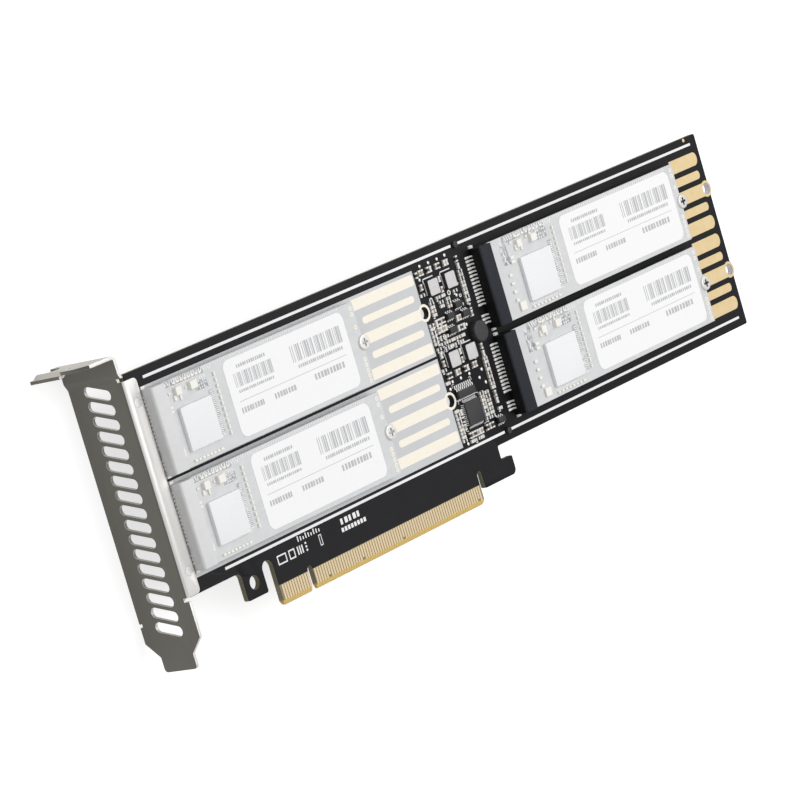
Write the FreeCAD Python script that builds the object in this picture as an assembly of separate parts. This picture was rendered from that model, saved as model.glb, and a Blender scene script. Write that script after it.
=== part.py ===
import FreeCAD, Part
import math
import os

# Long, low adapter card that carries four M.2 drives on one x16 edge connector, with its slot bracket.
# While it is drawn, X runs along the card from the left end of the edge fingers, away from the bracket,
# Y runs from the bottom of the fingers to the top edge, and Z stands on the component side.
# The finished card is moved so that its box stands centred on the origin, on its lowest edge.

# Board
board_thickness = 1.6
board_top = 68.9
board_shoulder = 12.4
board_left = -31.7
board_end_margin = 1.5
board_corner = 0.6
end_lobe_radius = 2.5

# Edge connector
finger_pitch = 1.0
finger_width = 0.7
finger_top = 5.1
finger_start = 0.3
short_finger_start = 1.9
plating = 0.05
pins_before_key = 11
pins_after_key = 71
first_pin = 1.1
key_left = 11.65
key_width = 1.9
key_height = 6.3
tongue_right = 85.2
finger_bevel_height = 1.3
finger_bevel_depth = 0.5
tongue_corner = 1.0
short_front_pins = (17, 31, 48, 81)
short_back_pins = (1,)

# Left tab and right hook beside the edge connector
tab_left = -12.0
tab_right = -4.1
tab_bottom = 4.9
tab_hole_radius = 1.8
tab_inner_fillet = 1.5
hook_slot_width = 1.9
hook_slot_top = 8.6
hook_bottom = 3.6
hook_right = 101.3
hook_neck_right = 96.6
hook_corner = 1.6

# Drives and their rows
lower_row = 28.8
row_pitch = 24.1
left_socket_rear = -27.8
right_socket_rear = 107.4
left_drive_length = 80.0
right_drive_length = 93.0
long_hole_distance = 110.0
drive_width = 22.0
drive_thickness = 0.8
drive_height = 2.1
tongue_width = 19.85
tongue_length = 4.0
drive_notch_radius = 1.75
drive_key_offset = 6.1
drive_key_width = 1.2
drive_key_depth = 3.5
hole_radius = 1.65
ring_radius = 2.35

# M.2 sockets
socket_width = 21.9
socket_depth = 4.85
socket_height = 4.2
socket_rear_wall = 0.9
socket_chamfer = 0.4
socket_play = 0.1
tail_lengths = {"left": 0.25, "right": 2.3}
tail_width = 0.45
tail_height = 0.25
tail_pitch = 1.0
tail_count = 19
tail_gap_first = 14
tail_gap_count = 2
anchor_length = 1.4
anchor_width = 0.7
anchor_height = 0.6
anchor_inset = 0.3

# Drive fixings
standoff_radius = 2.0
standoff_bore = 1.05
screw_head_radius = 2.0
screw_head_height = 0.6
screw_head_round = 0.25
screw_shank_radius = 0.95
screw_shank_length = 1.6

# Drive components; starts and lengths are shares of the drive's length
controller_starts = {"left": 0.089, "right": 0.160}
controller_share = 0.148
controller_side_ratios = {"left": 0.93, "right": 0.88}
controller_offsets = {"left": 1.9, "right": 2.2}
chip_height = 1.0
chip_corner = 0.3
label_starts = {"left": 0.333, "right": 0.391}
label_shares = {"left": 0.602, "right": 0.575}
label_margin = 1.2
label_thickness = 0.08
label_corner = 2.2
small_part_length = 1.0
small_part_width = 0.5
small_part_height = 0.5
small_part_margin = 0.9
small_parts_across = 8
small_parts_along = 11
small_part_step = 1.5
crystal_length = 2.5
crystal_width = 2.0

# Printed fields, lines and copper pads
print_thickness = 0.04
pad_wide = 3.8
pad_narrow = 2.4
pad_spacing = 4.65
pad_lead = 4.0
pad_start_corner = 0.2
pad_end_share = 0.9
pad_shortfalls = {"left": (1.2, 1.8, 0.0, 1.8, 1.2), "right": (0.4, 1.2, 0.0, 1.2, 0.4)}
field_gap = 0.7
field_top = 64.5
field_bottom = 16.1
field_right_margin = 0.3
field_flange_gap = 0.2
line_width = 0.7
top_line = 66.5
bottom_line = 15.0
line_break = 102.4
line_break_width = 2.8
top_line_left = -25.0
bottom_line_left = -16.8
line_right_margin = 3.2
stud_radius = 0.9
stud_height = 0.8

# Middle component area
foot_height = 0.1
inductor_side = 4.2
inductor_height = 1.2
inductor_corner = 0.5
inductor_foot_length = 1.2
inductor_foot_inset = 0.4
inductor_columns = (88.4, 95.9)
inductor_rows = (38.8, 58.5)
lead_thickness = 0.15
clock_chip_side = 6.4
clock_chip_height = 0.9
clock_chip_x = 90.4
clock_chip_y = 23.7
clock_pins_per_side = 12
clock_pin_pitch = 0.5
clock_pin_width = 0.22
clock_pin_reach = 0.7
buffer_x = 89.6
buffer_y = 29.35
buffer_length = 7.4
buffer_width = 2.0
buffer_height = 1.0
buffer_pins = 9
buffer_pin_pitch = 0.85
buffer_pin_width = 0.4
buffer_pin_reaches = {90: 1.7, 270: 0.6}
switch_chip_length = 2.9
switch_chip_width = 1.6
switch_chip_height = 1.0
switch_pins = 3
switch_pin_pitch = 0.95
switch_pin_width = 0.4
switch_pin_reach = 0.6
switch_chip_places = ((96.6, 51.6), (92.2, 49.6), (98.6, 48.6), (91.6, 45.9), (100.4, 18.6))
round_part_x = 101.3
round_part_y = 42.8
round_part_radius = 2.9
round_part_height = 2.0
round_part_round = 0.4
passive_length = 1.6
passive_width = 0.85
passive_height = 0.6
passive_end = 0.4

# Runs of small two-ended parts: first x and y, step in x and y, count, turn in degrees
passive_runs = (
    (85.1, 63.1, 3.65, 0.0, 4, 90),
    (86.2, 63.1, 3.65, 0.0, 4, 90),
    (83.7, 62.9, 0.0, 0.0, 1, 90),
    (84.3, 59.5, 0.0, 0.0, 1, 90),
    (83.9, 57.4, 0.0, 0.0, 1, 0),
    (92.15, 56.9, 0.0, 2.8, 2, 90),
    (89.6, 55.3, 2.3, 0.0, 2, 0),
    (97.2, 55.2, 0.0, 0.0, 1, 0),
    (90.4, 52.8, 0.0, 1.1, 2, 0),
    (93.4, 52.0, 0.0, 1.0, 3, 0),
    (86.5, 51.4, 0.0, 1.05, 4, 0),
    (86.2, 49.3, 1.05, 0.0, 4, 90),
    (86.2, 47.2, 1.05, 0.0, 4, 90),
    (83.9, 49.2, 0.0, -1.0, 6, 0),
    (95.0, 48.2, 1.1, 0.0, 2, 90),
    (94.4, 45.6, 1.15, 0.0, 3, 90),
    (86.6, 45.0, 2.0, 0.0, 2, 0),
    (86.4, 43.5, 2.2, 0.0, 5, 0),
    (87.4, 42.1, 2.2, 0.0, 4, 0),
    (84.2, 42.6, 0.0, 0.0, 1, 0),
    (84.4, 38.6, 0.0, 2.3, 2, 90),
    (92.15, 37.6, 0.0, 2.3, 2, 90),
    (84.8, 35.1, 3.7, 0.0, 4, 90),
    (85.9, 35.1, 3.7, 0.0, 4, 90),
    (83.8, 33.4, 0.0, 3.5, 2, 0),
    (83.9, 25.6, 0.0, -1.0, 9, 0),
    (85.55, 24.9, 0.0, -2.0, 3, 90),
    (95.7, 27.4, 0.0, -1.0, 8, 0),
    (97.9, 27.0, 0.0, -1.1, 7, 0),
    (101.6, 21.5, 0.0, 0.0, 1, 0),
    (86.6, 18.2, 1.05, 0.0, 6, 90),
    (87.0, 16.6, 2.0, 0.0, 3, 0),
    (94.2, 18.3, 1.3, 0.0, 3, 90),
)

# Runs beside each right-hand socket, with y counted from the middle of its row
socket_runs = (
    (101.3, 10.0, 0.0, -2.0, 2, 90),
    (101.3, 6.6, 0.0, -1.0, 9, 0),
    (101.3, -3.1, 0.0, -1.9, 2, 90),
)

# Slot bracket, of folded sheet
sheet = 0.86
bracket_width = 18.42
bracket_top = 74.3
bracket_height = 79.2
bracket_clearance = 0.55
bend_radius = 0.5
ear_length = 11.43
joggle_start = 4.6
joggle_run = 1.8
tail_tip_width = 10.8
taper_end = 75.3
tail_tip_corner = 1.0
flange_top_margin = 1.5
flange_bottom_margin = 0.3
flange_reach = 4.9
flange_corner = 1.2
relief_width = 1.0
relief_depth = 1.6
vent_count = 17
vent_pitch = 3.75
vent_first = 8.6
vent_length = 8.6
vent_height = 2.7
vent_slant = 16.0
edge_nick_start = 66.4
edge_nick_height = 0.9
edge_nick_depth = 0.9
ear_chamfer_x = 2.2
ear_chamfer_z = 3.4
ear_notch_width = 4.4
ear_notch_depth = 4.6
ear_notch_centre = 5.9
ear_slit_offset = 8.6
ear_slit_width = 0.8
ear_slit_length = 4.0
ear_finger_length = 3.2
ear_finger_drop = 0.9

# How far cutting shapes run past what they cut, and the thickness of those that trim a whole outline
cut_room = 2.0
cutter_depth = 40.0

# Bracket screws
bracket_screw_radius = 1.25
bracket_screw_play = 0.05
bracket_screw_head_radius = 2.15
bracket_screw_head_height = 1.5
bracket_screw_head_round = 0.7
bracket_screw_edge = 1.8
bracket_screw_inset = 6.0

# Worked out from the sizes above
upper_row = lower_row + row_pitch
rows = {"lower": lower_row, "upper": upper_row}
socket_rears = {"left": left_socket_rear, "right": right_socket_rear}
drive_lengths = {"left": left_drive_length, "right": right_drive_length}
tips = {side: rear + socket_rear_wall for side, rear in socket_rears.items()}
drive_ends = {side: tips[side] + drive_lengths[side] for side in tips}
long_holes = {side: tips[side] + long_hole_distance for side in tips}
base_levels = {"left": print_thickness, "right": 0.0}
board_right = long_holes["right"] + board_end_margin
field_right = long_holes["left"] - field_right_margin
bracket_outer = board_left - bracket_clearance - sheet
flange_right = bracket_outer + flange_reach
bracket_bottom = bracket_top - bracket_height
bracket_lowest = sheet - bracket_width
flange_bottom = board_shoulder + flange_bottom_margin
flange_top = board_top - flange_top_margin
bracket_screw_x = flange_right - bracket_screw_edge
bracket_screw_rows = (flange_bottom + bracket_screw_inset, flange_top - bracket_screw_inset)
ear_end = bracket_outer - ear_length


def point(x, y, z=0.0):
    return FreeCAD.Vector(x, y, z)


def block(x, y, z, length, width, height):
    return Part.makeBox(length, width, height, point(x, y, z))


def disc(x, y, z, radius, height):
    return Part.makeCylinder(radius, height, point(x, y, z))


def ring(x, y, z, inner, outer, height):
    return disc(x, y, z, outer, height).cut(disc(x, y, z, inner, height))


def rounded_wire(corners):
    # Closed outline in the XY plane from corners (x, y, radius), with an arc at each rounded corner.
    edges = []
    stops = []
    count = len(corners)
    for index, (x, y, radius) in enumerate(corners):
        here = point(x, y)
        before = point(*corners[index - 1][:2]) - here
        after = point(*corners[(index + 1) % count][:2]) - here
        before.normalize()
        after.normalize()
        if radius <= 0:
            stops.append((here, here, None))
            continue
        half = before.getAngle(after) / 2.0
        reach = radius / math.tan(half)
        middle = before + after
        middle.normalize()
        crown = here + middle * (radius / math.sin(half) - radius)
        stops.append((here + before * reach, here + after * reach, crown))
    for index, (start, end, crown) in enumerate(stops):
        if crown is not None:
            edges.append(Part.Arc(start, crown, end).toShape())
        following = stops[(index + 1) % count][0]
        if end.distanceToPoint(following) > 1e-6:
            edges.append(Part.LineSegment(end, following).toShape())
    return Part.Wire(edges)


def plate(corners, z, thickness):
    outline = rounded_wire(corners)
    outline.translate(point(0, 0, z))
    return Part.Face(outline).extrude(point(0, 0, thickness))


def rounded_block(x, y, z, length, width, height, radius):
    corners = [(x, y, radius), (x + length, y, radius)]
    corners += [(x + length, y + width, radius), (x, y + width, radius)]
    return plate(corners, z, height)


def group(shapes):
    return Part.makeCompound(shapes)


def finger_centres():
    before = [first_pin + pin * finger_pitch for pin in range(int(pins_before_key))]
    key_centre = key_left + key_width / 2.0
    start = key_centre + 1.5 * finger_pitch
    after = [start + pin * finger_pitch for pin in range(int(pins_after_key))]
    return before + after


def board_outline():
    slot_radius = -tab_right / 2.0
    hook_left = tongue_right + hook_slot_width
    hook_slot_radius = hook_slot_width / 2.0 - 0.01
    key_radius = key_width / 2.0 - 0.01
    key_right = key_left + key_width
    return [
        (board_left, board_shoulder, board_corner),
        (tab_left, board_shoulder, tab_inner_fillet),
        (tab_left, tab_bottom, board_corner),
        (tab_right, tab_bottom, board_corner),
        (tab_right, board_shoulder, slot_radius - 0.01),
        (0.0, board_shoulder, slot_radius - 0.01),
        (0.0, 0.0, tongue_corner),
        (key_left, 0.0, 0.3),
        (key_left, key_height, key_radius),
        (key_right, key_height, key_radius),
        (key_right, 0.0, 0.3),
        (tongue_right, 0.0, tongue_corner),
        (tongue_right, hook_slot_top, hook_slot_radius),
        (hook_left, hook_slot_top, hook_slot_radius),
        (hook_left, hook_bottom, board_corner),
        (hook_right, hook_bottom, hook_corner),
        (hook_right, hook_slot_top, board_corner),
        (hook_neck_right, hook_slot_top, board_corner),
        (hook_neck_right, board_shoulder, board_corner),
        (board_right, board_shoulder, board_corner),
        (board_right, board_top, board_corner),
        (board_left, board_top, board_corner),
    ]


def finger_bevels():
    # Two long wedges that thin the bottom edge of the tongue on both faces.
    back = -board_thickness
    left = -hook_slot_width / 2.0
    wedges = []
    for face, step in ((0.0, -finger_bevel_depth), (back, finger_bevel_depth)):
        corners = [point(left, 0, face), point(left, finger_bevel_height, face), point(left, 0, face + step)]
        outline = Part.makePolygon(corners + corners[:1])
        wedges.append(Part.Face(outline).extrude(point(tongue_right - 2 * left, 0, 0)))
    return wedges


def main_board():
    back = -board_thickness
    board = plate(board_outline(), back, board_thickness)
    for y in rows.values():
        board = board.fuse(disc(long_holes["right"], y, back, end_lobe_radius, board_thickness))
    cuts = finger_bevels()
    for side in long_holes:
        for y in rows.values():
            cuts.append(disc(long_holes[side], y, back, hole_radius, board_thickness))
    for y in bracket_screw_rows:
        clear = bracket_screw_radius + 2 * bracket_screw_play
        cuts.append(disc(bracket_screw_x, y, back, clear, board_thickness))
    tab_middle = (tab_left + tab_right) / 2.0
    tab_hole_height = tab_bottom + (board_shoulder - tab_bottom) / 2.0
    cuts.append(disc(tab_middle, tab_hole_height, back, tab_hole_radius, board_thickness))
    return board.cut(cuts).removeSplitter()


def contact_finger(x, start):
    # One gold strip that follows the bevel and the face of the tongue, as its component side.
    slope = finger_bevel_depth / finger_bevel_height
    track = [(finger_bevel_height, 0.0), (finger_top, 0.0)]
    if start < finger_bevel_height:
        track.insert(0, (start, (start - finger_bevel_height) * slope))
    else:
        track[0] = (start, 0.0)
    lower = [point(x - finger_width / 2.0, y, z) for y, z in track]
    upper = [corner + point(0, 0, plating) for corner in reversed(lower)]
    outline = Part.makePolygon(lower + upper + lower[:1])
    return Part.Face(outline).extrude(point(finger_width, 0, 0))


def contact_fingers(back, short_pins):
    fingers = []
    for pin, x in enumerate(finger_centres(), start=1):
        start = short_finger_start if pin in short_pins else finger_start
        finger = contact_finger(x, start)
        if back:
            finger = finger.mirror(point(0, 0, -board_thickness / 2.0), point(0, 0, 1))
        fingers.append(finger)
    return group(fingers)


def socket_housing(rear, row, level):
    # Black moulding: a tall rear wall, a shelf over the drive's tongue and a lip below it.
    low = drive_height - socket_play
    high = drive_height + drive_thickness + socket_play
    front = rear + socket_depth
    side = row - socket_width / 2.0
    profile = [
        point(rear, side, 0), point(front, side, 0), point(front, side, socket_height),
        point(rear + socket_chamfer, side, socket_height), point(rear, side, socket_height - socket_chamfer),
    ]
    body = Part.Face(Part.makePolygon(profile + profile[:1])).extrude(point(0, socket_width, 0))
    mouth_width = tongue_width + 2 * socket_play
    mouth_left = rear + socket_rear_wall - socket_play
    mouth = block(mouth_left, row - mouth_width / 2.0, low, socket_depth, mouth_width, high - low)
    rib_width = drive_key_width - 2 * socket_play
    rib_length = drive_key_depth - socket_play
    rib_y = row - drive_key_offset - rib_width / 2.0
    rib = block(rear + socket_rear_wall - 2 * socket_play, rib_y, low, rib_length, rib_width, high - low)
    housing = body.cut(mouth).fuse(rib).removeSplitter()
    housing.translate(point(0, 0, level))
    return housing


def socket_tails(side, rear, row, level):
    # Soldered feet behind the socket, with the gap that the key leaves.
    tails = []
    reach = tail_lengths[side]
    first = row + (tail_count - 1) * tail_pitch / 2.0
    for index in range(int(tail_count)):
        if tail_gap_first <= index < tail_gap_first + tail_gap_count:
            continue
        y = first - index * tail_pitch - tail_width / 2.0
        foot = block(rear - reach, y, level, reach, tail_width, tail_height)
        riser = block(rear - tail_height, y, level, tail_height, tail_width, 4 * tail_height)
        tails.append(foot.fuse(riser).removeSplitter())
    for turn in (-1, 1):
        edge = row + turn * socket_width / 2.0
        y = edge if turn > 0 else edge - anchor_width
        tails.append(block(rear + anchor_inset, y, level, anchor_length, anchor_width, anchor_height))
    return group(tails)


def drive_board(tip, end, row, level):
    half = drive_width / 2.0
    tongue = tongue_width / 2.0
    shoulder = tip + tongue_length
    corners = [
        (tip, row - tongue, 0.3), (shoulder, row - tongue, 0), (shoulder, row - half, 0),
        (end, row - half, 0.3), (end, row + half, 0.3),
        (shoulder, row + half, 0), (shoulder, row + tongue, 0), (tip, row + tongue, 0.3),
    ]
    z = level + drive_height
    blank = plate(corners, z, drive_thickness)
    notch = disc(end, row, z, drive_notch_radius, drive_thickness)
    key_y = row - drive_key_offset - drive_key_width / 2.0
    key = block(tip, key_y, z, drive_key_depth, drive_key_width, drive_thickness)
    return blank.cut([notch, key])


def controller_span(side, tip, end):
    length = end - tip
    return tip + controller_starts[side] * length, controller_share * length


def label_span(side, tip, end):
    length = end - tip
    return tip + label_starts[side] * length, label_shares[side] * length


def drive_controller(side, tip, end, row, level):
    start, length = controller_span(side, tip, end)
    width = controller_side_ratios[side] * length
    bottom = row - controller_offsets[side] - width / 2.0
    z = level + drive_height + drive_thickness
    return rounded_block(start, bottom, z, length, width, chip_height, chip_corner)


def drive_label(side, tip, end, row, level):
    start, length = label_span(side, tip, end)
    width = drive_width - 2 * label_margin
    z = level + drive_height + drive_thickness
    return rounded_block(start, row - width / 2.0, z, length, width, label_thickness, label_corner)


def drive_small_parts(side, tip, end, row, level):
    # Small soldered parts round the controller of a drive: two rows, a column and two taller cans.
    start, length = controller_span(side, tip, end)
    label_start = label_span(side, tip, end)[0]
    z = level + drive_height + drive_thickness
    top = row + drive_width / 2.0 - small_part_margin - small_part_width
    bottom = row - drive_width / 2.0 + small_part_margin
    first = start + small_part_margin / 2.0
    step = (length - small_part_margin - small_part_length) / (small_parts_across - 1)
    parts = []
    for index in range(int(small_parts_across)):
        for y in (top, bottom):
            parts.append(block(first + index * step, y, z, small_part_length, small_part_width,
                               small_part_height))
    column = (start + length + label_start - small_part_width) / 2.0
    for index in range(int(small_parts_along)):
        y = row + (index - small_parts_along // 2) * small_part_step
        parts.append(block(column, y, z, small_part_width, small_part_length, small_part_height))
    can_y = top - small_part_margin - crystal_width
    for x, can_length in ((first, crystal_width), (start + length / 2.0, crystal_length)):
        parts.append(block(x, can_y, z, can_length, crystal_width, 2 * small_part_height))
    return group(parts)


def standoffs():
    pillars = []
    height = drive_height - plating
    for side in drive_ends:
        level = base_levels[side] + plating
        for y in rows.values():
            pillars.append(ring(drive_ends[side], y, level, standoff_bore, standoff_radius, height))
    return group(pillars)


def drive_screws():
    screws = []
    for side in drive_ends:
        seat = base_levels[side] + drive_height + drive_thickness
        for y in rows.values():
            x = drive_ends[side]
            shank = disc(x, y, seat - screw_shank_length, screw_shank_radius, screw_shank_length)
            head = disc(x, y, seat, screw_head_radius, screw_head_height)
            rim = [edge for edge in head.Edges if edge.BoundBox.ZMin > seat + screw_head_height / 2.0]
            head = head.makeFillet(screw_head_round, [edge for edge in rim if edge.BoundBox.ZLength < 0.01])
            screws.append(head.fuse(shank).removeSplitter())
    return group(screws)


def heat_pads(side, row):
    # Five bare copper strips from under the drive's end, the middle one up to the far hole's ring.
    level = base_levels[side]
    start = drive_ends[side] - pad_lead
    hole = long_holes[side]
    strips = []
    for index, shortfall in enumerate(pad_shortfalls[side]):
        width = pad_narrow if index % 2 else pad_wide
        middle = row + (2 - index) * pad_spacing
        end = hole - shortfall
        low = middle - width / 2.0
        high = middle + width / 2.0
        corner = 0.0 if shortfall == 0 else pad_end_share * width / 2.0
        corners = [
            (start, low, pad_start_corner), (end, low, corner),
            (end, high, corner), (start, high, pad_start_corner),
        ]
        strips.append(plate(corners, level, plating).cut(disc(hole, row, level, ring_radius, plating)))
    return group(strips)


def hole_rings():
    rings = []
    for side in long_holes:
        for y in rows.values():
            for level in (0.0, -board_thickness - plating):
                rings.append(ring(long_holes[side], y, level, hole_radius, ring_radius, plating))
    return group(rings)


def left_field(bottom, top):
    # Printed field that stops at the plated rings, which lie on the board itself.
    left = flange_right + field_flange_gap
    field = block(left, bottom, 0, field_right - left, top - bottom, print_thickness)
    holes = [disc(long_holes["left"], y, 0, ring_radius, print_thickness) for y in rows.values()]
    return field.cut(holes)


def printed_lines():
    breaks = (line_break - line_break_width / 2.0, line_break + line_break_width / 2.0)
    right = board_right - line_right_margin
    bars = []
    for y, left in ((top_line, top_line_left), (bottom_line, bottom_line_left)):
        for start, end in ((left, breaks[0]), (breaks[1], right)):
            bars.append(block(start, y - line_width / 2.0, 0, end - start, line_width, print_thickness))
    return group(bars)


def line_studs():
    # Small black posts in the breaks of the printed lines.
    return group([disc(line_break, y, 0, stud_radius, stud_height) for y in (top_line, bottom_line)])


def inductors():
    half = inductor_side / 2.0
    return group([
        rounded_block(x - half, y - half, foot_height, inductor_side, inductor_side, inductor_height,
                      inductor_corner)
        for x in inductor_columns for y in inductor_rows
    ])


def inductor_feet():
    feet = []
    width = inductor_side - 2 * inductor_foot_inset
    for x in inductor_columns:
        for y in inductor_rows:
            low = y - width / 2.0
            for side in (-1, 1):
                middle = x + side * (inductor_side / 2.0 - inductor_foot_length / 4.0)
                start = middle - inductor_foot_length / 2.0
                feet.append(block(start, low, 0, inductor_foot_length, width, foot_height))
    return group(feet)


def chip_body(x, y, length, width, height):
    return rounded_block(x - length / 2.0, y - width / 2.0, foot_height, length, width, height, 0.2)


def lead(reach, width, height):
    # Bent lead that lies on the board and rises to the chip's side, pointing along X from the origin.
    track = [
        (0, height - lead_thickness), (reach * 0.45 - lead_thickness, height - lead_thickness),
        (reach * 0.45 - lead_thickness, 0), (reach, 0), (reach, lead_thickness),
        (reach * 0.45, lead_thickness), (reach * 0.45, height), (0, height),
    ]
    corners = [point(x, -width / 2.0, z) for x, z in track]
    return Part.Face(Part.makePolygon(corners + corners[:1])).extrude(point(0, width, 0))


def side_leads(x, y, half, count, pitch, width, reach, height, turns):
    leads = []
    start = -(count - 1) * pitch / 2.0
    for index in range(int(count)):
        for turn in turns:
            pin = lead(reach, width, height)
            pin.translate(point(half, start + index * pitch, 0))
            pin.rotate(point(0, 0, 0), point(0, 0, 1), turn)
            pin.translate(point(x, y, 0))
            leads.append(pin)
    return leads


def clock_chip():
    return chip_body(clock_chip_x, clock_chip_y, clock_chip_side, clock_chip_side, clock_chip_height)


def clock_chip_pins():
    height = foot_height + clock_chip_height / 2.0
    return group(side_leads(clock_chip_x, clock_chip_y, clock_chip_side / 2.0, clock_pins_per_side,
                            clock_pin_pitch, clock_pin_width, clock_pin_reach, height, (0, 90, 180, 270)))


def buffer_chip():
    return chip_body(buffer_x, buffer_y, buffer_length, buffer_width, buffer_height)


def buffer_chip_pins():
    height = foot_height + buffer_height / 2.0
    pins = []
    for turn, reach in buffer_pin_reaches.items():
        pins += side_leads(buffer_x, buffer_y, buffer_width / 2.0, buffer_pins, buffer_pin_pitch,
                           buffer_pin_width, reach, height, (turn,))
    return group(pins)


def switch_chips():
    return group([chip_body(x, y, switch_chip_length, switch_chip_width, switch_chip_height)
                  for x, y in switch_chip_places])


def switch_chip_pins():
    pins = []
    height = foot_height + switch_chip_height / 2.0
    for x, y in switch_chip_places:
        pins += side_leads(x, y, switch_chip_width / 2.0, switch_pins, switch_pin_pitch, switch_pin_width,
                           switch_pin_reach, height, (90, 270))
    return group(pins)


def round_part():
    body = disc(round_part_x, round_part_y, 0, round_part_radius, round_part_height)
    rim = [edge for edge in body.Edges if edge.BoundBox.ZMin > round_part_height - 0.01]
    return body.makeFillet(round_part_round, rim)


def passive_places():
    runs = list(passive_runs)
    for row in rows.values():
        runs += [(x, row + y, *rest) for x, y, *rest in socket_runs]
    places = []
    for x, y, step_x, step_y, count, turn in runs:
        places += [(x + index * step_x, y + index * step_y, turn) for index in range(int(count))]
    return places


def passive(x, y, turn):
    body = block(-passive_length / 2.0 + passive_end, -passive_width / 2.0, 0,
                 passive_length - 2 * passive_end, passive_width, passive_height - 0.04)
    left = block(-passive_length / 2.0, -passive_width / 2.0, 0, passive_end, passive_width, passive_height)
    right = block(passive_length / 2.0 - passive_end, -passive_width / 2.0, 0,
                  passive_end, passive_width, passive_height)
    for shape in (body, left, right):
        shape.rotate(point(0, 0, 0), point(0, 0, 1), turn)
        shape.translate(point(x, y, 0))
    return body, left, right


def capacitor_bodies():
    return group([passive(*place)[0] for place in passive_places()])


def capacitor_ends():
    ends = []
    for place in passive_places():
        ends += passive(*place)[1:]
    return group(ends)


def strip_face(path, bend):
    # Section of a folded sheet in the XY plane. The path is the face on its left-hand side.
    left = []
    right = []
    for index, here in enumerate(path):
        if index in (0, len(path) - 1):
            other = path[1] - here if index == 0 else here - path[-2]
            other.normalize()
            across = point(other.y, -other.x) * sheet
            left.append((here, None, here))
            right.append((here + across, None, here + across))
            continue
        into = here - path[index - 1]
        out = path[index + 1] - here
        into.normalize()
        out.normalize()
        turn = into.x * out.y - into.y * out.x
        radius = bend if turn > 0 else bend + sheet
        angle = into.getAngle(out)
        reach = radius * math.tan(angle / 2.0)
        start = here - into * reach
        end = here + out * reach
        side = 1.0 if turn > 0 else -1.0
        centre = start + point(-into.y, into.x) * radius * side
        toward = here - centre
        toward.normalize()
        across_in = point(into.y, -into.x) * sheet
        across_out = point(out.y, -out.x) * sheet
        left.append((start, centre + toward * radius, end))
        outer = radius + sheet * side
        right.append((start + across_in, centre + toward * outer, end + across_out))
    edges = []
    for track in (left, right):
        for index, (start, crown, end) in enumerate(track):
            if crown is not None:
                edges.append(Part.Arc(start, crown, end).toShape())
            if index + 1 < len(track):
                edges.append(Part.LineSegment(end, track[index + 1][0]).toShape())
    edges.append(Part.LineSegment(left[0][0], right[0][0]).toShape())
    edges.append(Part.LineSegment(left[-1][0], right[-1][0]).toShape())
    return Part.Face(Part.Wire(Part.__sortEdges__(edges)))


def bracket_sheet():
    # Ear, joggle, face and tail in one strip, drawn from the ear's end down the board's side of the sheet.
    inner = bracket_outer + sheet
    path = [
        point(ear_end, bracket_top),
        point(bracket_outer, bracket_top),
        point(bracket_outer, bracket_top - joggle_start),
        point(inner, bracket_top - joggle_start - joggle_run),
        point(inner, bracket_bottom),
    ]
    section = strip_face(path, bend_radius)
    section.translate(point(0, 0, bracket_lowest))
    strip = section.extrude(point(0, 0, bracket_width))
    fold = block(bracket_outer - cut_room, flange_bottom, -bend_radius, sheet + 2 * cut_room,
                 flange_top - flange_bottom, bend_radius + cut_room)
    return strip.cut(fold)


def bracket_flange():
    # Leg that folds from the face's near edge over the board's component side.
    inner = bracket_outer + sheet
    path = [point(flange_right, 0), point(inner, 0), point(inner, -bend_radius - 1.0)]
    section = strip_face(path, bend_radius)
    section.rotate(point(0, 0, 0), point(1, 0, 0), 90)
    section.translate(point(0, flange_bottom, 0))
    leg = section.extrude(point(0, flange_top - flange_bottom, 0))
    trim = [
        (bracket_outer - 1, flange_bottom, 0), (flange_right, flange_bottom, flange_corner),
        (flange_right, flange_top, flange_corner), (bracket_outer - 1, flange_top, 0),
    ]
    return leg.common(plate(trim, -cutter_depth / 2.0, cutter_depth))


def ear_finger():
    # Finger lanced from the ear's far outer corner and pressed down.
    flat = bracket_top - ear_finger_drop
    path = [
        point(ear_end, flat), point(ear_end + 1.2, flat),
        point(ear_end + 2.6, bracket_top), point(ear_end + ear_finger_length + 0.2, bracket_top),
    ]
    section = strip_face(path, ear_finger_drop / 4.0)
    section.translate(point(0, 0, bracket_lowest))
    return section.extrude(point(0, 0, bracket_width - ear_slit_offset))


def bracket_outline():
    # Seen square on to the face: Y up the bracket and Z across it, with the tapered tail.
    near = sheet
    far = bracket_lowest
    inset = (bracket_width - tail_tip_width) / 2.0
    taper_low = bracket_top - taper_end
    taper_high = taper_low + inset
    corners = [
        (far, bracket_top + 1, 0), (far, taper_high, 0), (far + inset, taper_low, 0),
        (far + inset, bracket_bottom, tail_tip_corner), (near - inset, bracket_bottom, tail_tip_corner),
        (near - inset, taper_low, 0), (near, taper_high, 0), (near, bracket_top + 1, 0),
    ]
    outline = plate(corners, 0, cutter_depth)
    outline.rotate(point(0, 0, 0), point(0, 1, 0), -90)
    outline.translate(point(bracket_outer + cutter_depth / 4.0, 0, 0))
    return outline


def vent_slots():
    slots = []
    middle = sheet - bracket_width / 2.0
    for index in range(int(vent_count)):
        y = bracket_top - vent_first - index * vent_pitch
        slot = rounded_block(-vent_length / 2.0, -vent_height / 2.0, 0, vent_length, vent_height,
                             2 * cut_room, vent_height / 2.0 - 0.01)
        slot.rotate(point(0, 0, 0), point(0, 0, 1), -vent_slant)
        slot.rotate(point(0, 0, 0), point(0, 1, 0), -90)
        slot.translate(point(bracket_outer + cut_room, y, middle))
        slots.append(slot)
    return slots


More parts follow.
